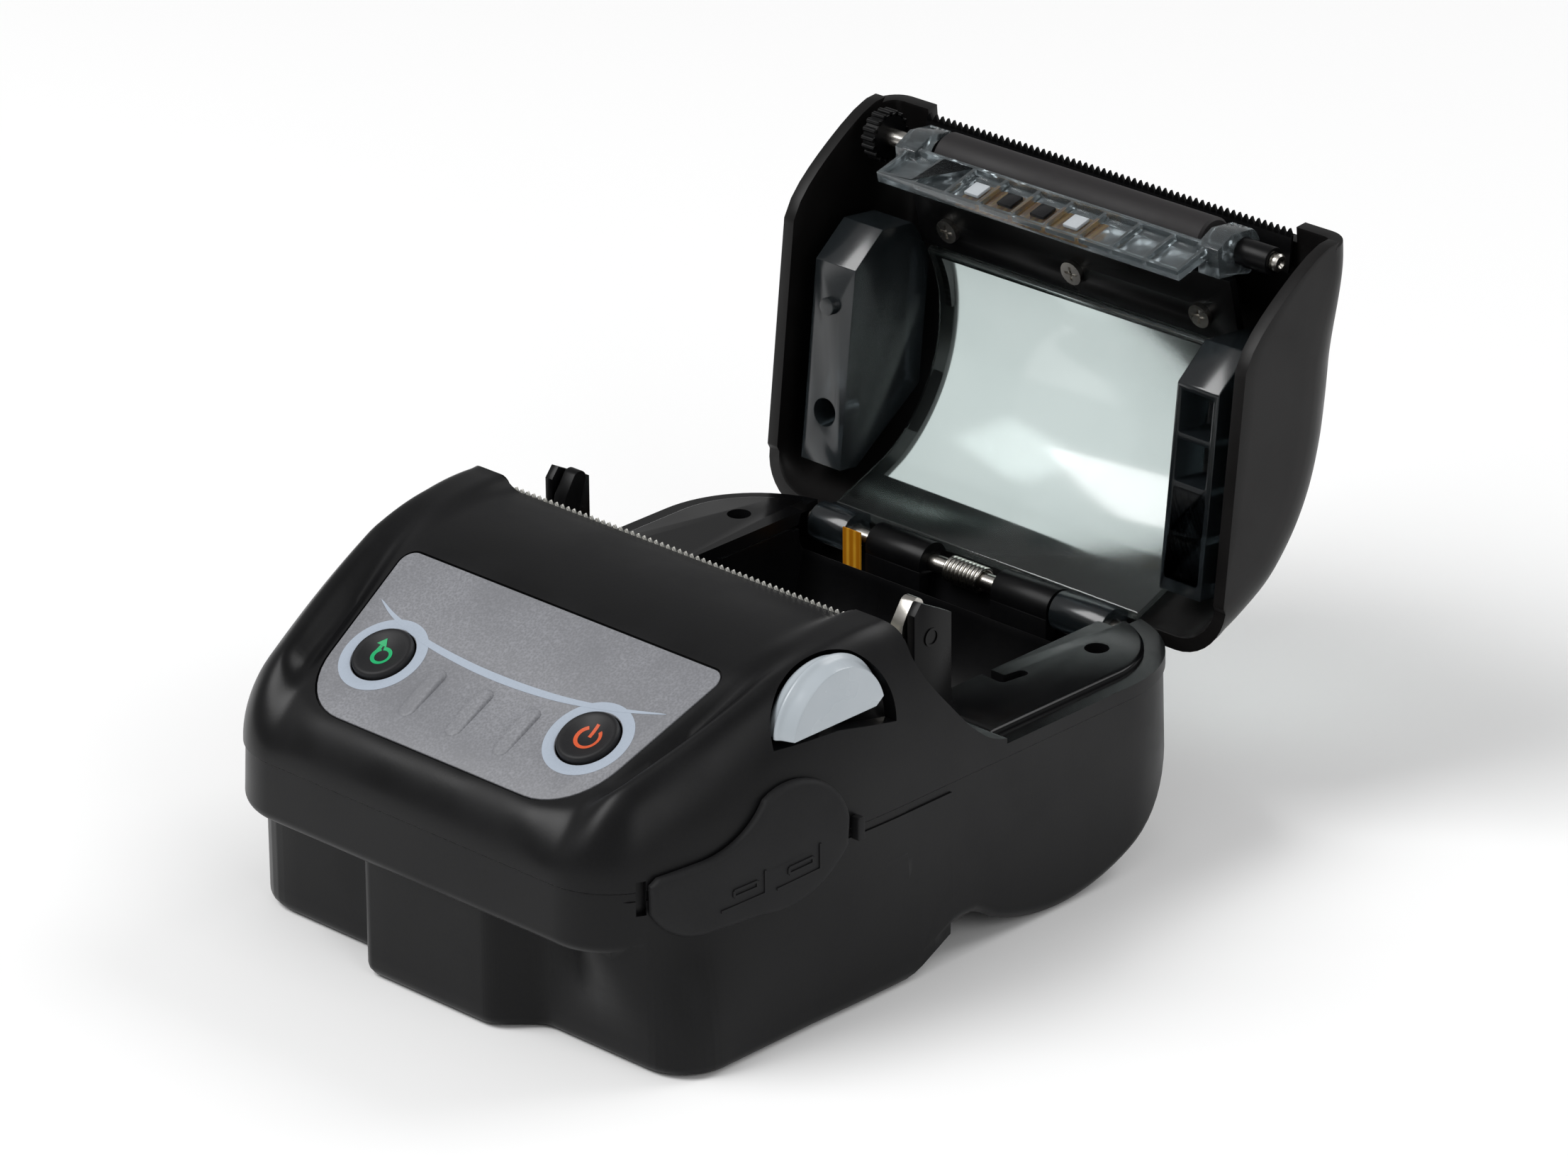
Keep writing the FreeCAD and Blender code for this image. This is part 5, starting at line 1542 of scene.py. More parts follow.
@dataclass
class Key:
    """Round dished rubber key with its printed sign."""

    name: str
    spot: Pair
    sign: Sign
    profile: tuple[Pair, ...] = ((-3.6, 5.0), (0.2, 5.08), (0.5, 5.02), (0.74, 4.86), (0.88, 4.6), (0.9, 4.3),
                                 (0.76, 3.8), (0.52, 3.1), (0.27, 2.2), (0.1, 1.2), (0.04, 0.4), (0.04, 0.0))
    line: float = 0.62
    lift: float = 0.035
    bow_r: float = 2.0
    roll_r: float = 1.5
    arrow: tuple[Pair, ...] = ((-2.35, 1.3), (-0.5, 1.3), (-1.3, 2.7))

    def face(self, u: float, v: float) -> Vector:
        """Place on the key's dished face, with u across and v up the panel.

        Args:
            u: Distance across from the key's middle.
            v: Distance up from it.

        Returns:
            The place in millimetres.
        """
        heights = [p[0] for p in self.profile[::-1]]
        radii = [p[1] for p in self.profile[::-1]]
        height = float(np.interp(math.hypot(u, v), radii[:-3], heights[:-3]))
        up = Vector((0, math.cos(math.radians(PANEL.angle)), math.sin(math.radians(PANEL.angle))))
        return PANEL.at(*self.spot, height + self.lift) + Vector((u, 0, 0)) + up * v

    def stroke(self, path: Sequence[Pair], width: float) -> Thing:
        """Ribbon of ink along a path on the face.

        Args:
            path: Points across and up the face.
            width: The ribbon's width.

        Returns:
            The ribbon, with a little thickness.
        """
        line = np.asarray(path, float)
        way = np.gradient(line, axis=0)
        side = np.column_stack([-way[:, 1], way[:, 0]]) / np.linalg.norm(way, axis=1)[:, None]
        down = PANEL.normal * 0.12
        rows = []
        for shift in (-width / 2, 0.0, width / 2):
            rows.append([self.face(*p) for p in line + side * shift])
        count = len(line)
        top = [p for row in rows for p in row]
        points = top + [p - down for p in top]
        faces, under = [], 3 * count
        for k in range(2):
            for i in range(count - 1):
                quad = [k * count + i, k * count + i + 1, (k + 1) * count + i + 1, (k + 1) * count + i]
                faces += [quad, [under + q for q in quad[::-1]]]
        rim = list(range(count)) + [2 * count - 1] + list(range(3 * count - 1, 2 * count - 1, -1)) + [count]
        faces += [[a, b, under + b, under + a] for a, b in zip(rim, rim[1:] + rim[:1])]
        return mesh_thing("stroke", points, faces)

    def strokes(self) -> list[Thing]:
        """Lines of the sign.

        Returns:
            The lines.
        """
        if self.sign is Sign.POWER:
            turns = np.radians(np.linspace(35, 325, 40))
            bend = [(self.bow_r * math.sin(t), self.bow_r * math.cos(t)) for t in turns]
            bar = [(0, v) for v in np.linspace(0.2, 2.7, 8)]
            return [self.stroke(bend, self.line), self.stroke(bar, self.line)]
        r = self.roll_r
        roll = [(r * math.sin(t), r * math.cos(t) - 0.4) for t in np.radians(np.linspace(-28, 318, 40))]
        sheet = [(-r + 0.15 * t, -0.2 + 2.0 * t) for t in np.linspace(0, 1, 6)]
        return [self.stroke(roll, self.line), self.stroke(sheet, self.line * 0.9), self.head()]

    def head(self) -> Thing:
        """Small arrow head at the end of the feed sign.

        Returns:
            The arrow head.
        """
        top = np.array([self.face(u, v) for u, v in self.arrow])
        return lofted("head", [top - np.array(PANEL.normal) * 0.12, top])

    def build(self) -> list[Thing]:
        """Model the key and its sign.

        Returns:
            The key and the sign.
        """
        cap = turned(self.name + "_cap", self.profile, PANEL.at(*self.spot), PANEL.normal, 64)
        settle(dress(cap, KEY_RUBBER, 50), self.name, "black_rubber", self.name)
        ink = joined(self.name + "_sign", self.strokes())
        dress(ink, GREEN_INK if self.sign is Sign.FEED else ORANGE_INK)
        settle(ink, self.name, "black_rubber")
        return [cap, ink]


# Pieces of the body


@dataclass
class TearBar:
    """Toothed steel strip on the hood's rear edge."""

    half: float = 35.9
    y0: float = 26.3
    y1: float = 27.1
    low: float = 54.0
    root: float = 55.5
    tip: float = 56.8
    teeth: int = 56

    def build(self, recipe: Recipe) -> Thing:
        """Model the strip and grow its teeth.

        Args:
            recipe: Tree for the teeth.

        Returns:
            The bar.
        """
        strip = prism("strip", [(-self.half, self.low), (self.half, self.low), (self.half, self.root),
                                (-self.half, self.root)], Axis.Y, self.y0, self.y1)
        dress(soften(strip, 0.1, 2), STAMPED_STEEL)
        pitch = 2 * self.half / self.teeth
        r = (self.tip - self.root) / 1.5 + 0.04
        middle = (self.y0 + self.y1) / 2
        thick = (self.y1 - self.y0) * MM
        teeth = recipe.grow(
            "teeth", STAMPED_STEEL, Count=self.teeth,
            Start=((-self.half + pitch / 2) * MM, middle * MM, (self.tip - r) * MM),
            Step=(pitch * MM, 0.0, 0.0), Tip_Radius=r * MM, Thickness=thick, Sides=3,
            Turn=(math.pi / 2, -math.pi / 2, 0.0), Stem=(pitch * 0.7 * MM, thick, 0.4 * MM),
            Stem_Drop=(0.0, 0.0, (-r / 2 - 0.25) * MM))
        dress(soften(teeth, 0.14, 2, 40), STAMPED_STEEL)
        return settle(joined("tear_bar_strip", [strip, teeth]), "base", "steel", "tear_bar")


@dataclass
class OpenLever:
    """Half-disc lever with a long thumb ridge."""

    axis: Pair = LEVER_AXIS
    rim: tuple[Pair, ...] = ((41.5, 4.5), (42.1, 7.5), (43.1, 9.5), (44.3, 10.55), (45.4, 10.8), (46.0, 11.3),
                             (46.5, 11.25), (47.1, 10.75), (48.2, 10.35), (49.2, 9.95))
    foot: float = 47.9
    start: float = 15.0

    def build(self) -> Thing:
        """Model the lever.

        Returns:
            The lever.
        """
        y, z = self.axis
        rings = []
        for x, r in spline(self.rim, 3):
            first = max(math.radians(self.start), math.asin((self.foot - z) / r))
            last = math.pi - math.asin((self.foot - z) / r)
            rim = [(x, y + r * math.cos(t), z + r * math.sin(t)) for t in np.linspace(first, last, 48)]
            rings.append(np.array(rim + [(x, y + 0.8 * r, self.foot)]))
        lever = soften(lofted("open_lever_moulding", rings), 0.35, 3, 50)
        return settle(dress(lever, LEVER_ABS, 42), "open_lever", "lever_grey", "open_lever")


@dataclass
class SocketCap:
    """Rubber cap that follows the right wall, low in front and with a round lobe behind."""

    gap: float = 0.3
    wall: float = 1.5
    silhouette: tuple[tuple, ...] = (
        (-23.8, 27.0), (-23.8, 31.6), (-22.6, 32.6), (-15.0, 33.4), (-4.2, 40.2, -8.4, 36.0),
        (10.9, 33.6, 5.4, 40.9), (10.6, 29.0), (-6.0, 22.0, 5.2, 24.0), (-14.0, 21.7),
        (-23.8, 27.0, -21.0, 23.4))
    edge_r: float = 1.1
    spine: tuple[Pair, ...] = ((-22, 28), (-10, 28.5), (4, 31))
    spine_ends: Pair = (-16, 3)
    plug: tuple[Triple, Triple] = ((44.0, -11.6, 24.9), (48.4, 5.1, 29.1))
    openings: tuple[tuple[float, ...], ...] = ((-13.0, -5.4, 25.0, 29.0), (-3.4, 4.6, 26.0, 30.4))

    def at(self, y: float, z: float, out: float, case: UpperCase) -> Vector:
        """Place outside the case wall, square to its plan outline.

        Args:
            y: The place along.
            z: The height.
            out: Distance out from the wall.
            case: The upper case, which tells how the wall leans.

        Returns:
            The place in millimetres.
        """
        x = float(OUTLINE.side_x(y)) - case.wall_inset(y, z)
        ahead = float(OUTLINE.side_x(y + 0.2)) - float(OUTLINE.side_x(y - 0.2))
        way = Vector((0.4, -ahead, 0)).normalized()
        return Vector((x, y, z)) + way * out

    def build(self, case: UpperCase) -> Thing:
        """Model the cap over the case wall.

        Args:
            case: The upper case, whose wall the cap lies on.

        Returns:
            The cap.
        """
        edge = np.array(trace(self.silhouette, 14)[:-1])
        dense = np.vstack([edge[i] + (edge[(i + 1) % len(edge)] - edge[i]) * s
                           for i in range(len(edge)) for s in (0.0, 0.34, 0.67)])
        spine_z = np.interp(dense[:, 0], *zip(*self.spine))
        middle = np.column_stack([np.clip(dense[:, 0], *self.spine_ends), spine_z])
        reach = np.linalg.norm(middle - dense, axis=1)[:, None]
        r = self.edge_r
        turns = np.linspace(0.25, math.pi / 2, 6)
        rings = [(0.0, 0.0), (0.0, self.wall - r)]
        rings += [(r * (1 - math.cos(t)), self.wall - r + r * math.sin(t)) for t in turns]
        rings += [(r + 1.5, self.wall), (r + 3.5, self.wall)]
        rows = []
        for inward, out in rings:
            flat = dense + (middle - dense) * np.minimum(inward / reach, 0.98)
            rows.append(np.array([self.at(y, z, self.gap + out, case) for y, z in flat]))
        for share in (0.75, 0.9, 0.98):
            flat = dense + (middle - dense) * np.maximum(share, np.minimum((r + 3.5) / reach, 0.98))
            rows.append(np.array([self.at(y, z, self.gap + self.wall, case) for y, z in flat]))
        skin = lofted("socket_cap_skin", rows)
        parts = [skin, box(*self.plug)] + self.marks(case)
        cap = dress(joined("socket_cap", parts), CAP_RUBBER, 45)
        return settle(cap, "interface_cap", "black_rubber", "interface_cap")

    def marks(self, case: UpperCase) -> list[Thing]:
        """Two raised corner lines and a plain socket shape over each opening.

        Args:
            case: The upper case, which tells how the wall leans.

        Returns:
            The raised lines.
        """
        made = []
        for start, end, low, high in self.openings:
            left, right = start + 2.2, end - 1.4
            lines = [
                [(start, low), (end, low + 1.0)], [(end, low + 1.0), (end, high + 0.8)],
                [(left, low + 1.9), (right, low + 2.4)], [(left, low + 2.9), (right, low + 3.4)],
                [(left, low + 1.9), (left, low + 2.9)], [(right, low + 2.4), (right, low + 3.4)],
            ]
            for (y0, z0), (y1, z1) in lines:
                run = Vector((y1 - y0, z1 - z0)).normalized()
                side = Vector((-run[1], run[0])) * 0.2
                corners = ((y0, z0, -1), (y1, z1, -1), (y1, z1, 1), (y0, z0, 1))
                rows = []
                for out in (self.gap + self.wall - 0.2, self.gap + self.wall + 0.22):
                    rows.append(np.array([self.at(y + s * side[0], z + s * side[1], out, case)
                                          for y, z, s in corners]))
                made.append(lofted("mark", rows))
        return made


@dataclass
class BodyFittings:
    """Working parts that show in the open body: plates, hooks, trough and hinge sleeves."""

    emboss: Triple = (39.9, 41.4, 49.1)
    hinge: Pair = HINGE_AXIS
    rod_half: float = 35.0
    rod_r: float = 1.5
    coil_x: float = -4.0
    coil_turns: float = 9.0
    coil_r: float = 1.95
    coil_wire: float = 0.38
    coil_long: float = 7.5

    def build(self, coil: Recipe) -> None:
        """Model the fittings.

        Args:
            coil: Tree for the hinge spring.
        """
        plates = softened_node("plates", "mechanism_frame", 0.25)
        raised = [(0, 1.5), (0.25, 1.5), (0.25, 1.15), (0.05, 1.1), (0.05, 0)]
        ring = turned("ring", raised, self.emboss, (1, 0, 0), 32)
        plates = dress(joined("side_plates", [plates, ring]), BLACK_NYLON)
        settle(plates, "base", "black_moulding", "mechanism_frame")
        hooks = dress(softened_node("lock_hooks", "lock_arms", 0.95, 5), STEEL, 50)
        # The left hook is steel like the right one; its faces get the black nylon finish as painted shade for
        # the dark it sits in.
        split_finish(hooks, BLACK_NYLON, lambda at, way: at[0] < 0)
        settle(hooks, "lock", "steel", "lock_arms")
        refit("roll_trough", "roll_cradle", 0.3, BLACK_NYLON, "base", "black_moulding")
        refit("hinge_sleeves", "hinge_knuckles", 0.25, BLACK_NYLON, "base", "black_moulding")
        tab = softened_node("cap_tab", "cap_tether", 0.3, 3)
        settle(dress(tab, CAP_RUBBER), "base", "black_rubber", "cap_tether")
        y, z = self.hinge
        spring = coil.grow(
            "cover_coil", STEEL, Turns=self.coil_turns, Coil_Radius=self.coil_r * MM,
            Wire_Radius=self.coil_wire * MM, Length=self.coil_long * MM,
            Place=(self.coil_x * MM, y * MM, z * MM))
        spring.data.shade_smooth()
        settle(spring, "base", "steel", "cover_spring")
        h, r = self.rod_half, self.rod_r
        rod = [(-h, 0), (-h, r - 0.3), (-h + 0.3, r), (h - 0.3, r), (h, r - 0.3), (h, 0)]
        shaft = turned("hinge_rod", rod, (0, y, z), (1, 0, 0), 36)
        settle(dress(shaft, STEEL), "base", "steel", "hinge_shaft")


# The cover


@dataclass
class Cover:
    """Paper cover with its shell, window, guides, strip and roller unit, drawn closed and then opened."""

    half: float = 49.7
    wall: float = WALL
    hinge: Pair = HINGE_AXIS
    open_angle: float = 96.4
    top: tuple[Pair, ...] = (
        (28.9, 58.4), (34.0, 59.4), (40.0, 60.1), (47.0, 60.5), (56.0, 60.6), (64.0, 60.1), (72.0, 58.4),
        (79.5, 55.0), (86.3, 49.8), (91.0, 43.4), (94.1, 37.8), (95.4, 34.3))
    crown_y: float = 47.0
    top_round: Pair = (4.6, 4.4)
    round_y: float = 50.0
    tail_y: float = 86.0
    tail_z: float = 34.3
    lip_low: Pair = (28.9, 54.5)
    slope_foot: Pair = (46.9, 34.3)
    slope: tuple[Pair, ...] = (
        (43.8, 35.6), (41.4, 37.3), (39.1, 39.4), (37.1, 41.5), (35.0, 43.9), (32.9, 46.5), (30.9, 49.3),
        (29.4, 52.1))
    window: Triple = (30.5, 51.6, 90.4)
    recess: Pair = (39.5, 31.5)
    liner: tuple[float, ...] = (65.0, 31.0, 26.0, 1.4, 33.0)
    liner_angles: Pair = (125.0, 33.0)
    skirt: Pair = (92.7, 33.6)
    sill_top: float = 58.9
    sill_wall: float = 1.3
    sill_end: float = 99.0

    def opened(self, thing: Thing) -> Thing:
        """Turn a piece from its closed place to the open one.

        Args:
            thing: The piece, drawn closed.

        Returns:
            The same piece.
        """
        pivot = Vector((0, self.hinge[0] * MM, self.hinge[1] * MM))
        turn = Matrix.Rotation(-math.radians(self.open_angle), 4, "X")
        thing.data.transform(Matrix.Translation(pivot) @ turn @ Matrix.Translation(-pivot))
        return thing

    def top_line(self) -> np.ndarray:
        """Side view of the cover's top, with a point at each edge of the window and recess.

        Returns:
            The line's points, one row each.
        """
        line = spline(self.top, 7)
        for y in (self.recess[1], *self.window[1:]):
            at = int(np.searchsorted(line[:, 0], y))
            line = np.insert(line, at, [y, np.interp(y, line[:, 0], line[:, 1])], axis=0)
        return line

    def slope_place(self, share: float) -> np.ndarray:
        """Place on the sloping lower edge, from its foot at 0 to the front lip at 1.

        Args:
            share: How far along the edge.

        Returns:
            The place in side view.
        """
        line = np.array([self.slope_foot, *self.slope, self.lip_low])
        run = np.concatenate([[0], np.cumsum(np.linalg.norm(np.diff(line, axis=0), axis=1))])
        return np.array([np.interp(share * run[-1], run, line[:, k]) for k in (0, 1)])

    def column(self, point: np.ndarray, way: np.ndarray, share: float, inset: float) -> np.ndarray:
        """One cross-section of the shell, from one lower edge over the top to the other.

        Args:
            point: Place on the top line.
            way: The top line's direction there.
            share: How far along the top line it is behind the crown, from 0 to 1; below 0 in front of it.
            inset: Thickness taken off, for the inside.

        Returns:
            The section's points.
        """
        inward = np.array([way[1], -way[0]]) / np.linalg.norm(way)
        least, more = self.top_round
        r = least + more * float(smooth(self.lip_low[0], self.round_y, point[0]))
        low = point + inward * r
        low[1] = max(low[1], self.tail_z + 0.6)
        crest = point + inward * inset
        crest[1] = max(crest[1], self.tail_z)
        if share <= 0:
            edge = self.slope_place(-share)
        else:
            edge = np.array([self.slope_foot[0] + (self.tail_y - self.slope_foot[0]) * share, self.tail_z])
        edge[0] = min(edge[0], max(low[0], self.lip_low[0]))
        rows = [(self.half - inset, *(edge + (low - edge) * s)) for s in np.linspace(0, 1, 6, endpoint=False)]
        for t in np.linspace(0, math.pi / 2, 10):
            flat = low + (crest - low) * math.sin(t)
            rows.append((self.half - r + (r - inset) * math.cos(t), *flat))
        rows += [(x, *crest) for x in (self.recess[0], self.window[0], 20.0, 10.0, 0.0)]
        half = np.array(rows)
        return np.vstack([half, half[-2::-1] * [-1, 1, 1]])

    def skin(self, inset: float) -> np.ndarray:
        """Points of the shell's outside, or of its inside when inset, section by section.

        Args:
            inset: How far inside the outside it lies.

        Returns:
            The points, with a row for each section.
        """
        line = self.top_line()
        way = np.gradient(line, axis=0)
        run = np.concatenate([[0], np.cumsum(np.linalg.norm(np.diff(line, axis=0), axis=1))])
        crown = np.interp(self.crown_y, line[:, 0], run)
        shares = np.where(run > crown, (run - crown) / (run[-1] - crown), run / crown - 1)
        return np.array([self.column(p, w, s, inset) for p, w, s in zip(line, way, shares)])

    def shell(self) -> Thing:
        """Shell with its window opening and cutter recess, closed along every edge.

        Returns:
            The shell at its closed place.
        """
        outer, inner = self.skin(0.0), self.skin(self.wall)
        line = self.top_line()
        rows, count = outer.shape[:2]
        faces = []
        for row in range(rows - 1):
            y = (line[row, 0] + line[row + 1, 0]) / 2
            for i in range(count - 1):
                x = abs(outer[row, i, 0] + outer[row, i + 1, 0]) / 2
                in_window = x < self.window[0] and self.window[1] < y < self.window[2]
                in_recess = x < self.recess[0] and y < self.recess[1]
                if not in_window and not in_recess:
                    at = row * count + i
                    faces.append([at, at + 1, at + count + 1, at + count])
        sides = {(a, b) for face in faces for a, b in zip(face, face[1:] + face[:1])}
        rim = [(a, b) for a, b in sides if (b, a) not in sides]
        under = rows * count
        walls = [[b, a, under + a, under + b] for a, b in sorted(rim)]
        inside = [[under + v for v in face[::-1]] for face in faces]
        points = np.vstack([outer.reshape(-1, 3), inner.reshape(-1, 3)])
        used = sorted({v for face in faces + inside for v in face})
        place = {v: i for i, v in enumerate(used)}
        kept = [[place[v] for v in face] for face in faces + walls + inside]
        made = mesh_thing("cover_shell", points[used], kept)
        return soften(made, 0.5, 3, 55)

    def liner_sheet(self) -> Thing:
        """Clear window curved round the roll, with its skirt down to the hinge.

        Returns:
            The window at its closed place.
        """
        y0, z0, r, wall, half = self.liner
        inner, outer = [], []
        for t in np.radians(np.linspace(*self.liner_angles, 40)):
            inner.append((y0 + (r - wall) * math.cos(t), z0 + (r - wall) * math.sin(t)))
            outer.append((y0 + r * math.cos(t), z0 + r * math.sin(t)))
        skirt = [(self.skirt[0], self.skirt[1]), (self.skirt[0] - wall, self.skirt[1])]
        return soften(prism("cover_window", outer + skirt + inner[::-1], Axis.X, -half, half), 0.25, 2, 50)

    def sill(self) -> Thing:
        """Wall from the front of the window opening, and a little way along its sides, down to the window.

        Returns:
            The wall at its closed place.
        """
        y0, z0, r = self.liner[:3]
        turns = np.radians(np.linspace(self.liner_angles[0], self.sill_end, 12))
        seat = [(y0 + r * math.cos(t), z0 + r * math.sin(t)) for t in turns]
        side, front, rear = self.window
        made = prism("sill", [*seat, (seat[-1][0], self.sill_top), (seat[0][0], self.sill_top)], Axis.X,
                     -side - self.sill_wall, side + self.sill_wall)
        clear = [(front, z0), (rear, z0), (rear, z0 + 2 * r), (front, z0 + 2 * r)]
        return combine(made, [prism("tool", clear, Axis.X, -side, side)])

    def build(self) -> None:
        """Model the shell, window, guides, strip and hinge sleeves."""
        shell = dress(self.opened(joined("cover_shell", [self.shell(), self.sill()])), COVER_ABS)
        settle(shell, "lid", "black_lid", "lid_shell")
        window = dress(self.opened(self.liner_sheet()), CLEAR_PC)
        settle(window, "lid", "clear_window", "lid_liner")
        for name, node in (("left_guide", "left_roll_guide"), ("right_guide", "right_roll_guide")):
            guide = softened_node(name, node, 0.3)
            if name == "left_guide":
                moon = prism("tool", circle(*self.liner[:3], 96), Axis.X, -60, -10)
                combine(guide, [self.opened(moon)], Join.SHARE)
            settle(dress(guide, SMOKY_PC), "lid", "smoky_plastic", node)
        refit("cover_sleeves", "lid_knuckles", 0.25, SMOKY_PC, "lid", "smoky_plastic")
        refit("cover_strip", "lid_frame", 0.3, BLACK_NYLON, "lid", "black_moulding")


@dataclass
class RollerUnit:
    """Platen roller with its gear, ribbed bar, cutter edge, screws and sensors."""

    axis: Pair = (33.5, 49.6)
    r: float = 4.0
    half: float = 28.6
    cutter_half: float = 39.2
    cutter_tip: float = 29.6
    cutter_rear: float = 37.0
    cutter_top: float = 56.2
    cutter_wall: float = 0.5
    cutter_teeth: int = 60
    strip: tuple[Pair, Pair] = ((38.2, 47.2), (50.49, 51.72))
    screw_share: float = 0.62
    screw_xs: Triple = (-27.2, 0.0, 27.2)
    screw_head: Pair = (2.1, 1.0)
    screw_recess: Triple = (2.6, 0.5, 0.8)
    dark_sensor: Pair = (-10.0, 3.0)
    rod: tuple[Pair, ...] = (
        (-44.6, 0), (-44.6, 1.2), (-44.3, 1.5), (41.3, 1.5), (41.3, 1.15), (41.7, 1.15), (41.7, 1.5),
        (42.1, 1.5), (42.4, 1.2), (42.4, 0.8), (42.0, 0.4), (42.0, 0))
    gear_x: float = -42.65
    gear_teeth: int = 17
    gear_root: float = 3.95
    gear_tooth: float = 0.5
    gear_wide: float = 2.7

    def cutter(self, cover: Cover, recipe: Recipe) -> Thing:
        """Black toothed edge of the cover.

        Args:
            cover: The cover, which opens it.
            recipe: Tree for the teeth.

        Returns:
            The edge at its open place.
        """
        root = self.cutter_tip + 1.1
        low, high = self.cutter_top - self.cutter_wall, self.cutter_top
        strip = prism("strip", [(-self.cutter_half, root), (self.cutter_half, root),
                                (self.cutter_half, self.cutter_rear), (-self.cutter_half, self.cutter_rear)],
                      Axis.Z, low, high)
        dress(soften(strip, 0.08, 2), BLACK_NYLON)
        pitch = 2 * self.cutter_half / self.cutter_teeth
        r = 0.75
        teeth = recipe.grow(
            "teeth", BLACK_NYLON, Count=self.cutter_teeth,
            Start=((-self.cutter_half + pitch / 2) * MM, (root - 0.25) * MM, (low + high) / 2 * MM),
            Step=(pitch * MM, 0.0, 0.0), Tip_Radius=r * MM, Thickness=self.cutter_wall * MM, Sides=3,
            Turn=(0.0, 0.0, -math.pi / 2), Stem=(1.0 * MM, 0.6 * MM, self.cutter_wall * MM),
            Stem_Drop=(0.0, 0.35 * MM, 0.0))
        return cover.opened(joined("cover_cutter", [strip, teeth]))

    def screws(self, cover: Cover, recipe: Recipe) -> Thing:
        """Screws in the black strip.

        Args:
            cover: The cover, which opens them.
            recipe: Tree for the screws.

        Returns:
            The screws at their open place.
        """
        low, high = np.array(self.strip[0]), np.array(self.strip[1])
        run = (high - low) / np.linalg.norm(high - low)
        normal = np.array([-run[1], run[0]])
        spot = low + (high - low) * self.screw_share - normal * 0.5
        turn = math.atan2(normal[1], normal[0]) + math.pi / 2
        radius, height = (v * MM for v in self.screw_head)
        long, narrow, deep = (v * MM for v in self.screw_recess)
        made = recipe.grow(
            "strip_screws", STEEL, Count=3, Start=(self.screw_xs[0] * MM, spot[0] * MM, spot[1] * MM),
            Step=((self.screw_xs[1] - self.screw_xs[0]) * MM, 0.0, 0.0),
            Head_Radius=radius, Head_Height=height, Recess=(long, narrow, deep),
            Cross_Recess=(narrow, long, deep), Recess_Place=(0.0, 0.0, height / 2), Turn=(turn, 0.0, 0.0))
        soften(made, 0.12, 2, 50)
        return cover.opened(made)

    def build(self, cover: Cover, teeth: Recipe, gear: Recipe, screws: Recipe) -> None:
        """Model the roller unit.

        Args:
            cover: The cover, which opens its pieces.
            teeth: Tree for the cutter's teeth.
            gear: Tree for the roller's gear.
            screws: Tree for the strip's screws.
        """
        settle(self.cutter(cover, teeth), "lid", "black_moulding", "lid_cutter")
        settle(dress(self.screws(cover, screws), STEEL), "lid", "steel", "lid_screws")
        refit("roller_bar", "platen_holder", 0.2, BAR_PC, "lid", "smoky_plastic")
        sensors = dress(softened_node("bar_sensors", "paper_sensors", 0.12), SENSOR_WHITE)
        low, high = self.dark_sensor
        split_finish(sensors, SENSOR_BLACK, lambda at, way: low < at[0] < high)
        settle(sensors, "lid", "white_sensor", "paper_sensors")
        refit("roller_bushes", "platen_bushes", 0.2, BLACK_NYLON, "lid", "black_moulding")
        spot = (0, *self.axis)
        h, r = self.half, self.r
        sleeve = [(-h, 1.5), (-h, r - 0.4), (-h + 0.4, r), (h - 0.4, r), (h, r - 0.4), (h, 1.5)]
        roller = turned("roller_sleeve", sleeve, spot, (1, 0, 0), 72)
        settle(dress(cover.opened(roller), ROLLER_RUBBER), "platen", "black_rubber", "platen_roller")
        shaft = turned("roller_rod", self.rod, spot, (1, 0, 0), 40)
        settle(dress(cover.opened(shaft), STEEL), "platen", "steel", "platen_shaft")
        wheel = gear.grow(
            "roller_gear", BLACK_NYLON, Teeth=self.gear_teeth, Root_Radius=self.gear_root * MM,
            Tooth_Radius=self.gear_tooth * MM, Width=self.gear_wide * MM,
            Place=(self.gear_x * MM, self.axis[0] * MM, self.axis[1] * MM))
        soften(wheel, 0.1, 1, 60)
        settle(dress(cover.opened(wheel), BLACK_NYLON), "platen", "black_moulding", "platen_gear")


# Studio


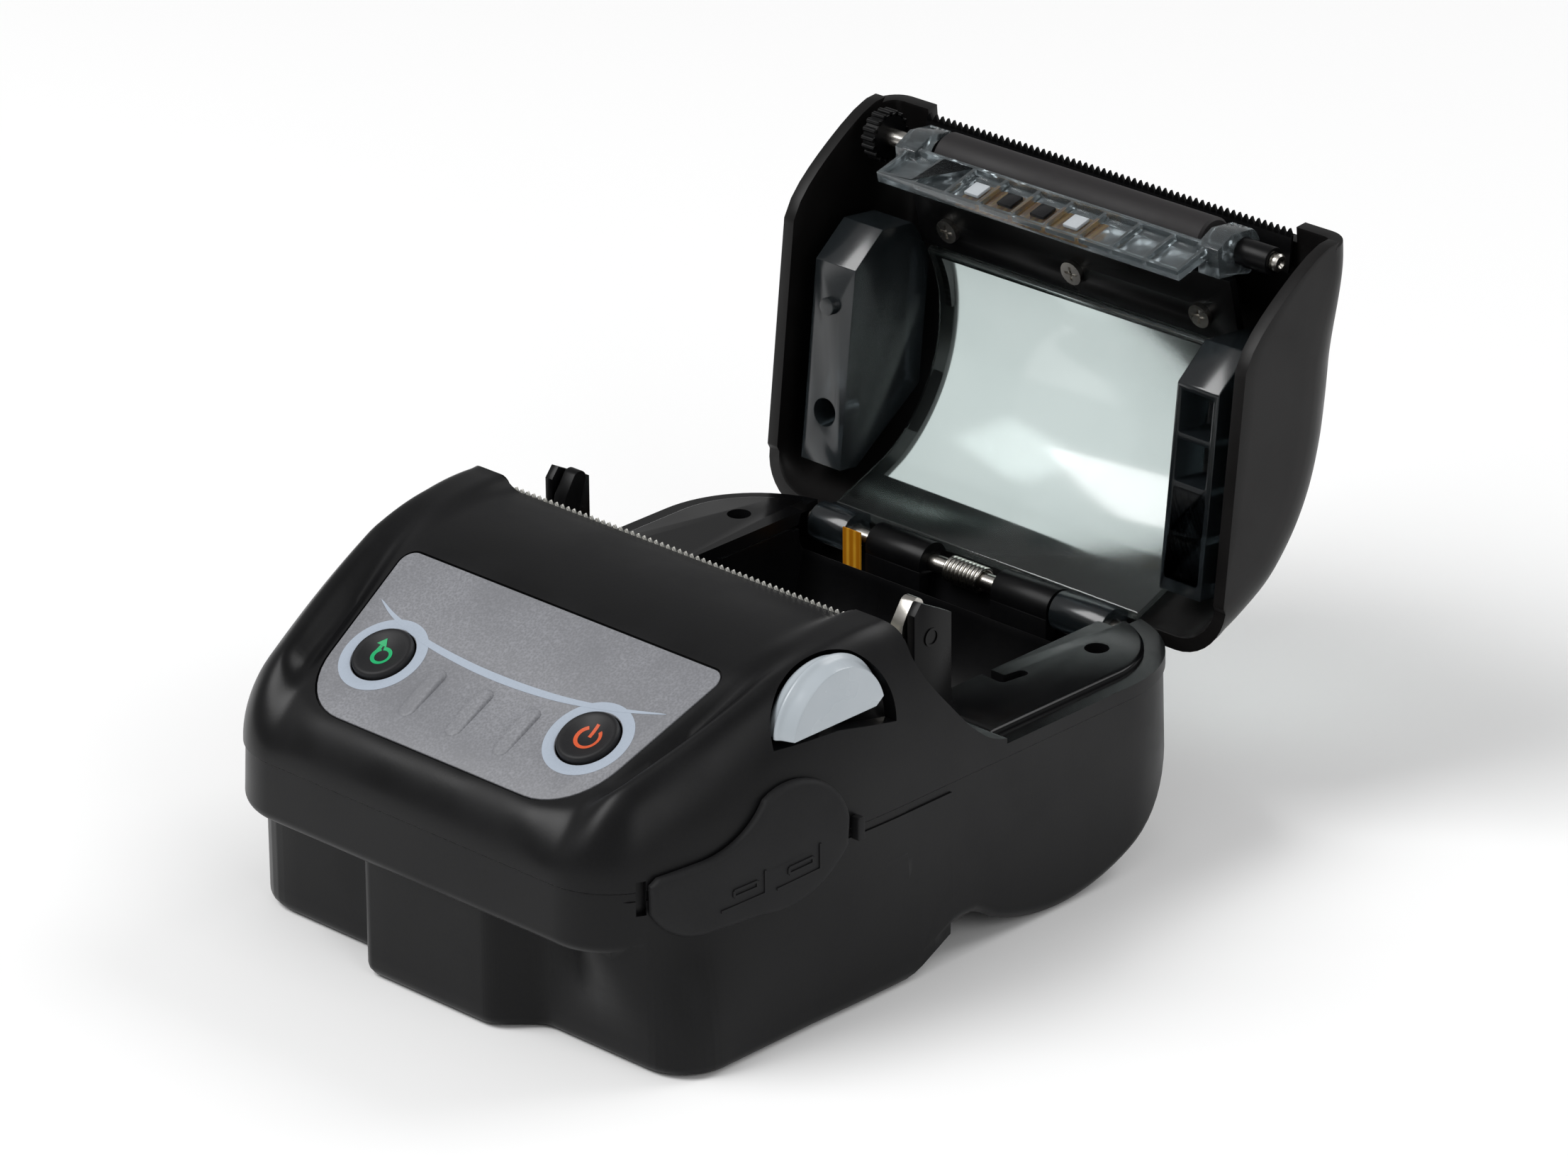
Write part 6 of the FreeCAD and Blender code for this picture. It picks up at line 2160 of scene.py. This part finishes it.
@dataclass
class Studio:
    """Floor, soft lights and the camera at the photograph's place, turned by degrees about X, Y and Z."""

    eye: Triple = (749.9, -730.7, 524.4)
    turn: Triple = (65.998, 0.394, 43.648)
    focal_px: float = 10643.35
    frame_px: float = 2212.0
    sensor: float = 36.0
    aim: Triple = (0.0, 0.03, 0.04)
    light_side: float = 0.8
    lights: tuple[tuple[str, Triple, float], ...] = (
        ("key", (-0.55, -0.75, 1.15), 16.0), ("fill", (1.2, -0.2, 0.7), 4.0), ("rear", (0.3, 1.1, 1.0), 7.0))

    def camera(self) -> None:
        """Place the camera."""
        data = bpy.data.cameras.new("camera")
        data.sensor_width = self.sensor
        data.sensor_fit = "HORIZONTAL"
        data.lens = self.focal_px * self.sensor / self.frame_px
        data.clip_end = 30
        made = linked("camera", data)
        turn = Euler([math.radians(v) for v in self.turn])
        made.matrix_world = Matrix.LocRotScale(Vector(self.eye) * MM, turn, None)
        bpy.context.scene.camera = made

    def light(self, name: str, place: Triple, power: float) -> None:
        """Place one soft light that points at the printer.

        Args:
            name: Its name.
            place: Where it stands, in metres.
            power: Its power, in watts.
        """
        data = bpy.data.lights.new(name, "AREA")
        data.size = self.light_side
        data.energy = power
        made = linked(name, data)
        made.location = place
        made.rotation_euler = (Vector(self.aim) - Vector(place)).to_track_quat("-Z", "Y").to_euler()

    def floor(self) -> None:
        """Lay a plain pale floor."""
        mesh = bpy.data.meshes.new("floor")
        reach = 6.0
        corners = [(-reach, -reach, 0), (reach, -reach, 0), (reach, reach, 0), (-reach, reach, 0)]
        mesh.from_pydata(corners, [], [[0, 1, 2, 3]])
        made = linked("floor", mesh)
        paper = bpy.data.materials.new("white_paper_sweep")
        paper.use_nodes = True
        shader = paper.node_tree.nodes["Principled BSDF"]
        shader.inputs["Base Color"].default_value = linear("#f8f8f8")
        shader.inputs["Roughness"].default_value = 0.9
        shader.inputs["Specular IOR Level"].default_value = 0.1
        mesh.materials.append(paper)

    def world(self) -> None:
        """White surroundings that light the object gently."""
        sky = bpy.data.worlds.new("white_surround")
        sky.use_nodes = True
        bpy.context.scene.world = sky
        tree = sky.node_tree
        tree.nodes.clear()
        path = add(tree, "ShaderNodeLightPath")
        seen = add(tree, "ShaderNodeMath", {
            0: path.outputs["Is Camera Ray"], 1: path.outputs["Is Transmission Ray"]}, operation="MAXIMUM")
        soft = add(tree, "ShaderNodeBackground", {"Color": (1, 1, 1, 1), "Strength": 0.34})
        white = add(tree, "ShaderNodeBackground", {"Color": (1, 1, 1, 1), "Strength": 1.0})
        both = add(tree, "ShaderNodeMixShader", {0: seen.outputs[0], 1: soft.outputs[0], 2: white.outputs[0]})
        add(tree, "ShaderNodeOutputWorld", {"Surface": both.outputs[0]})

    def build(self) -> None:
        """Set up the whole studio."""
        bpy.context.scene.view_settings.view_transform = "Standard"
        self.camera()
        self.floor()
        self.world()
        for name, place, power in self.lights:
            self.light(name, place, power)


def dress_nodes() -> None:
    """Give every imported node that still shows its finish, by its material slot."""
    for node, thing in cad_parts.items():
        for place, material in enumerate(thing.data.materials):
            slot = material.name.split(".")[0] if material else ""
            if slot in SLOT_FINISH:
                thing.data.materials[place] = SLOT_FINISH[slot].material()
            else:
                LOG.warning("%s has no finish for %s", node, slot)


def main() -> None:
    """Build the printer, piece by piece."""
    logging.basicConfig(level=logging.INFO, format="%(name)s %(message)s")
    Studio().build()
    dress_nodes()
    teeth, gear, coil, screws = tooth_row_recipe(), gear_recipe(), coil_recipe(), screw_recipe()
    case = UpperCase()
    case.build()
    LowerCase().build()
    KeyPanel().build()
    for name, spot, sign in zip(("feed_button", "power_button"), KEY_SPOTS, Sign):
        Key(name, spot, sign).build()
    TearBar().build(teeth)
    OpenLever().build()
    SocketCap().build(case)
    BodyFittings().build(coil)
    cover = Cover()
    cover.build()
    RollerUnit().build(cover, teeth, gear, screws)


if __name__ == "__main__":
    main()
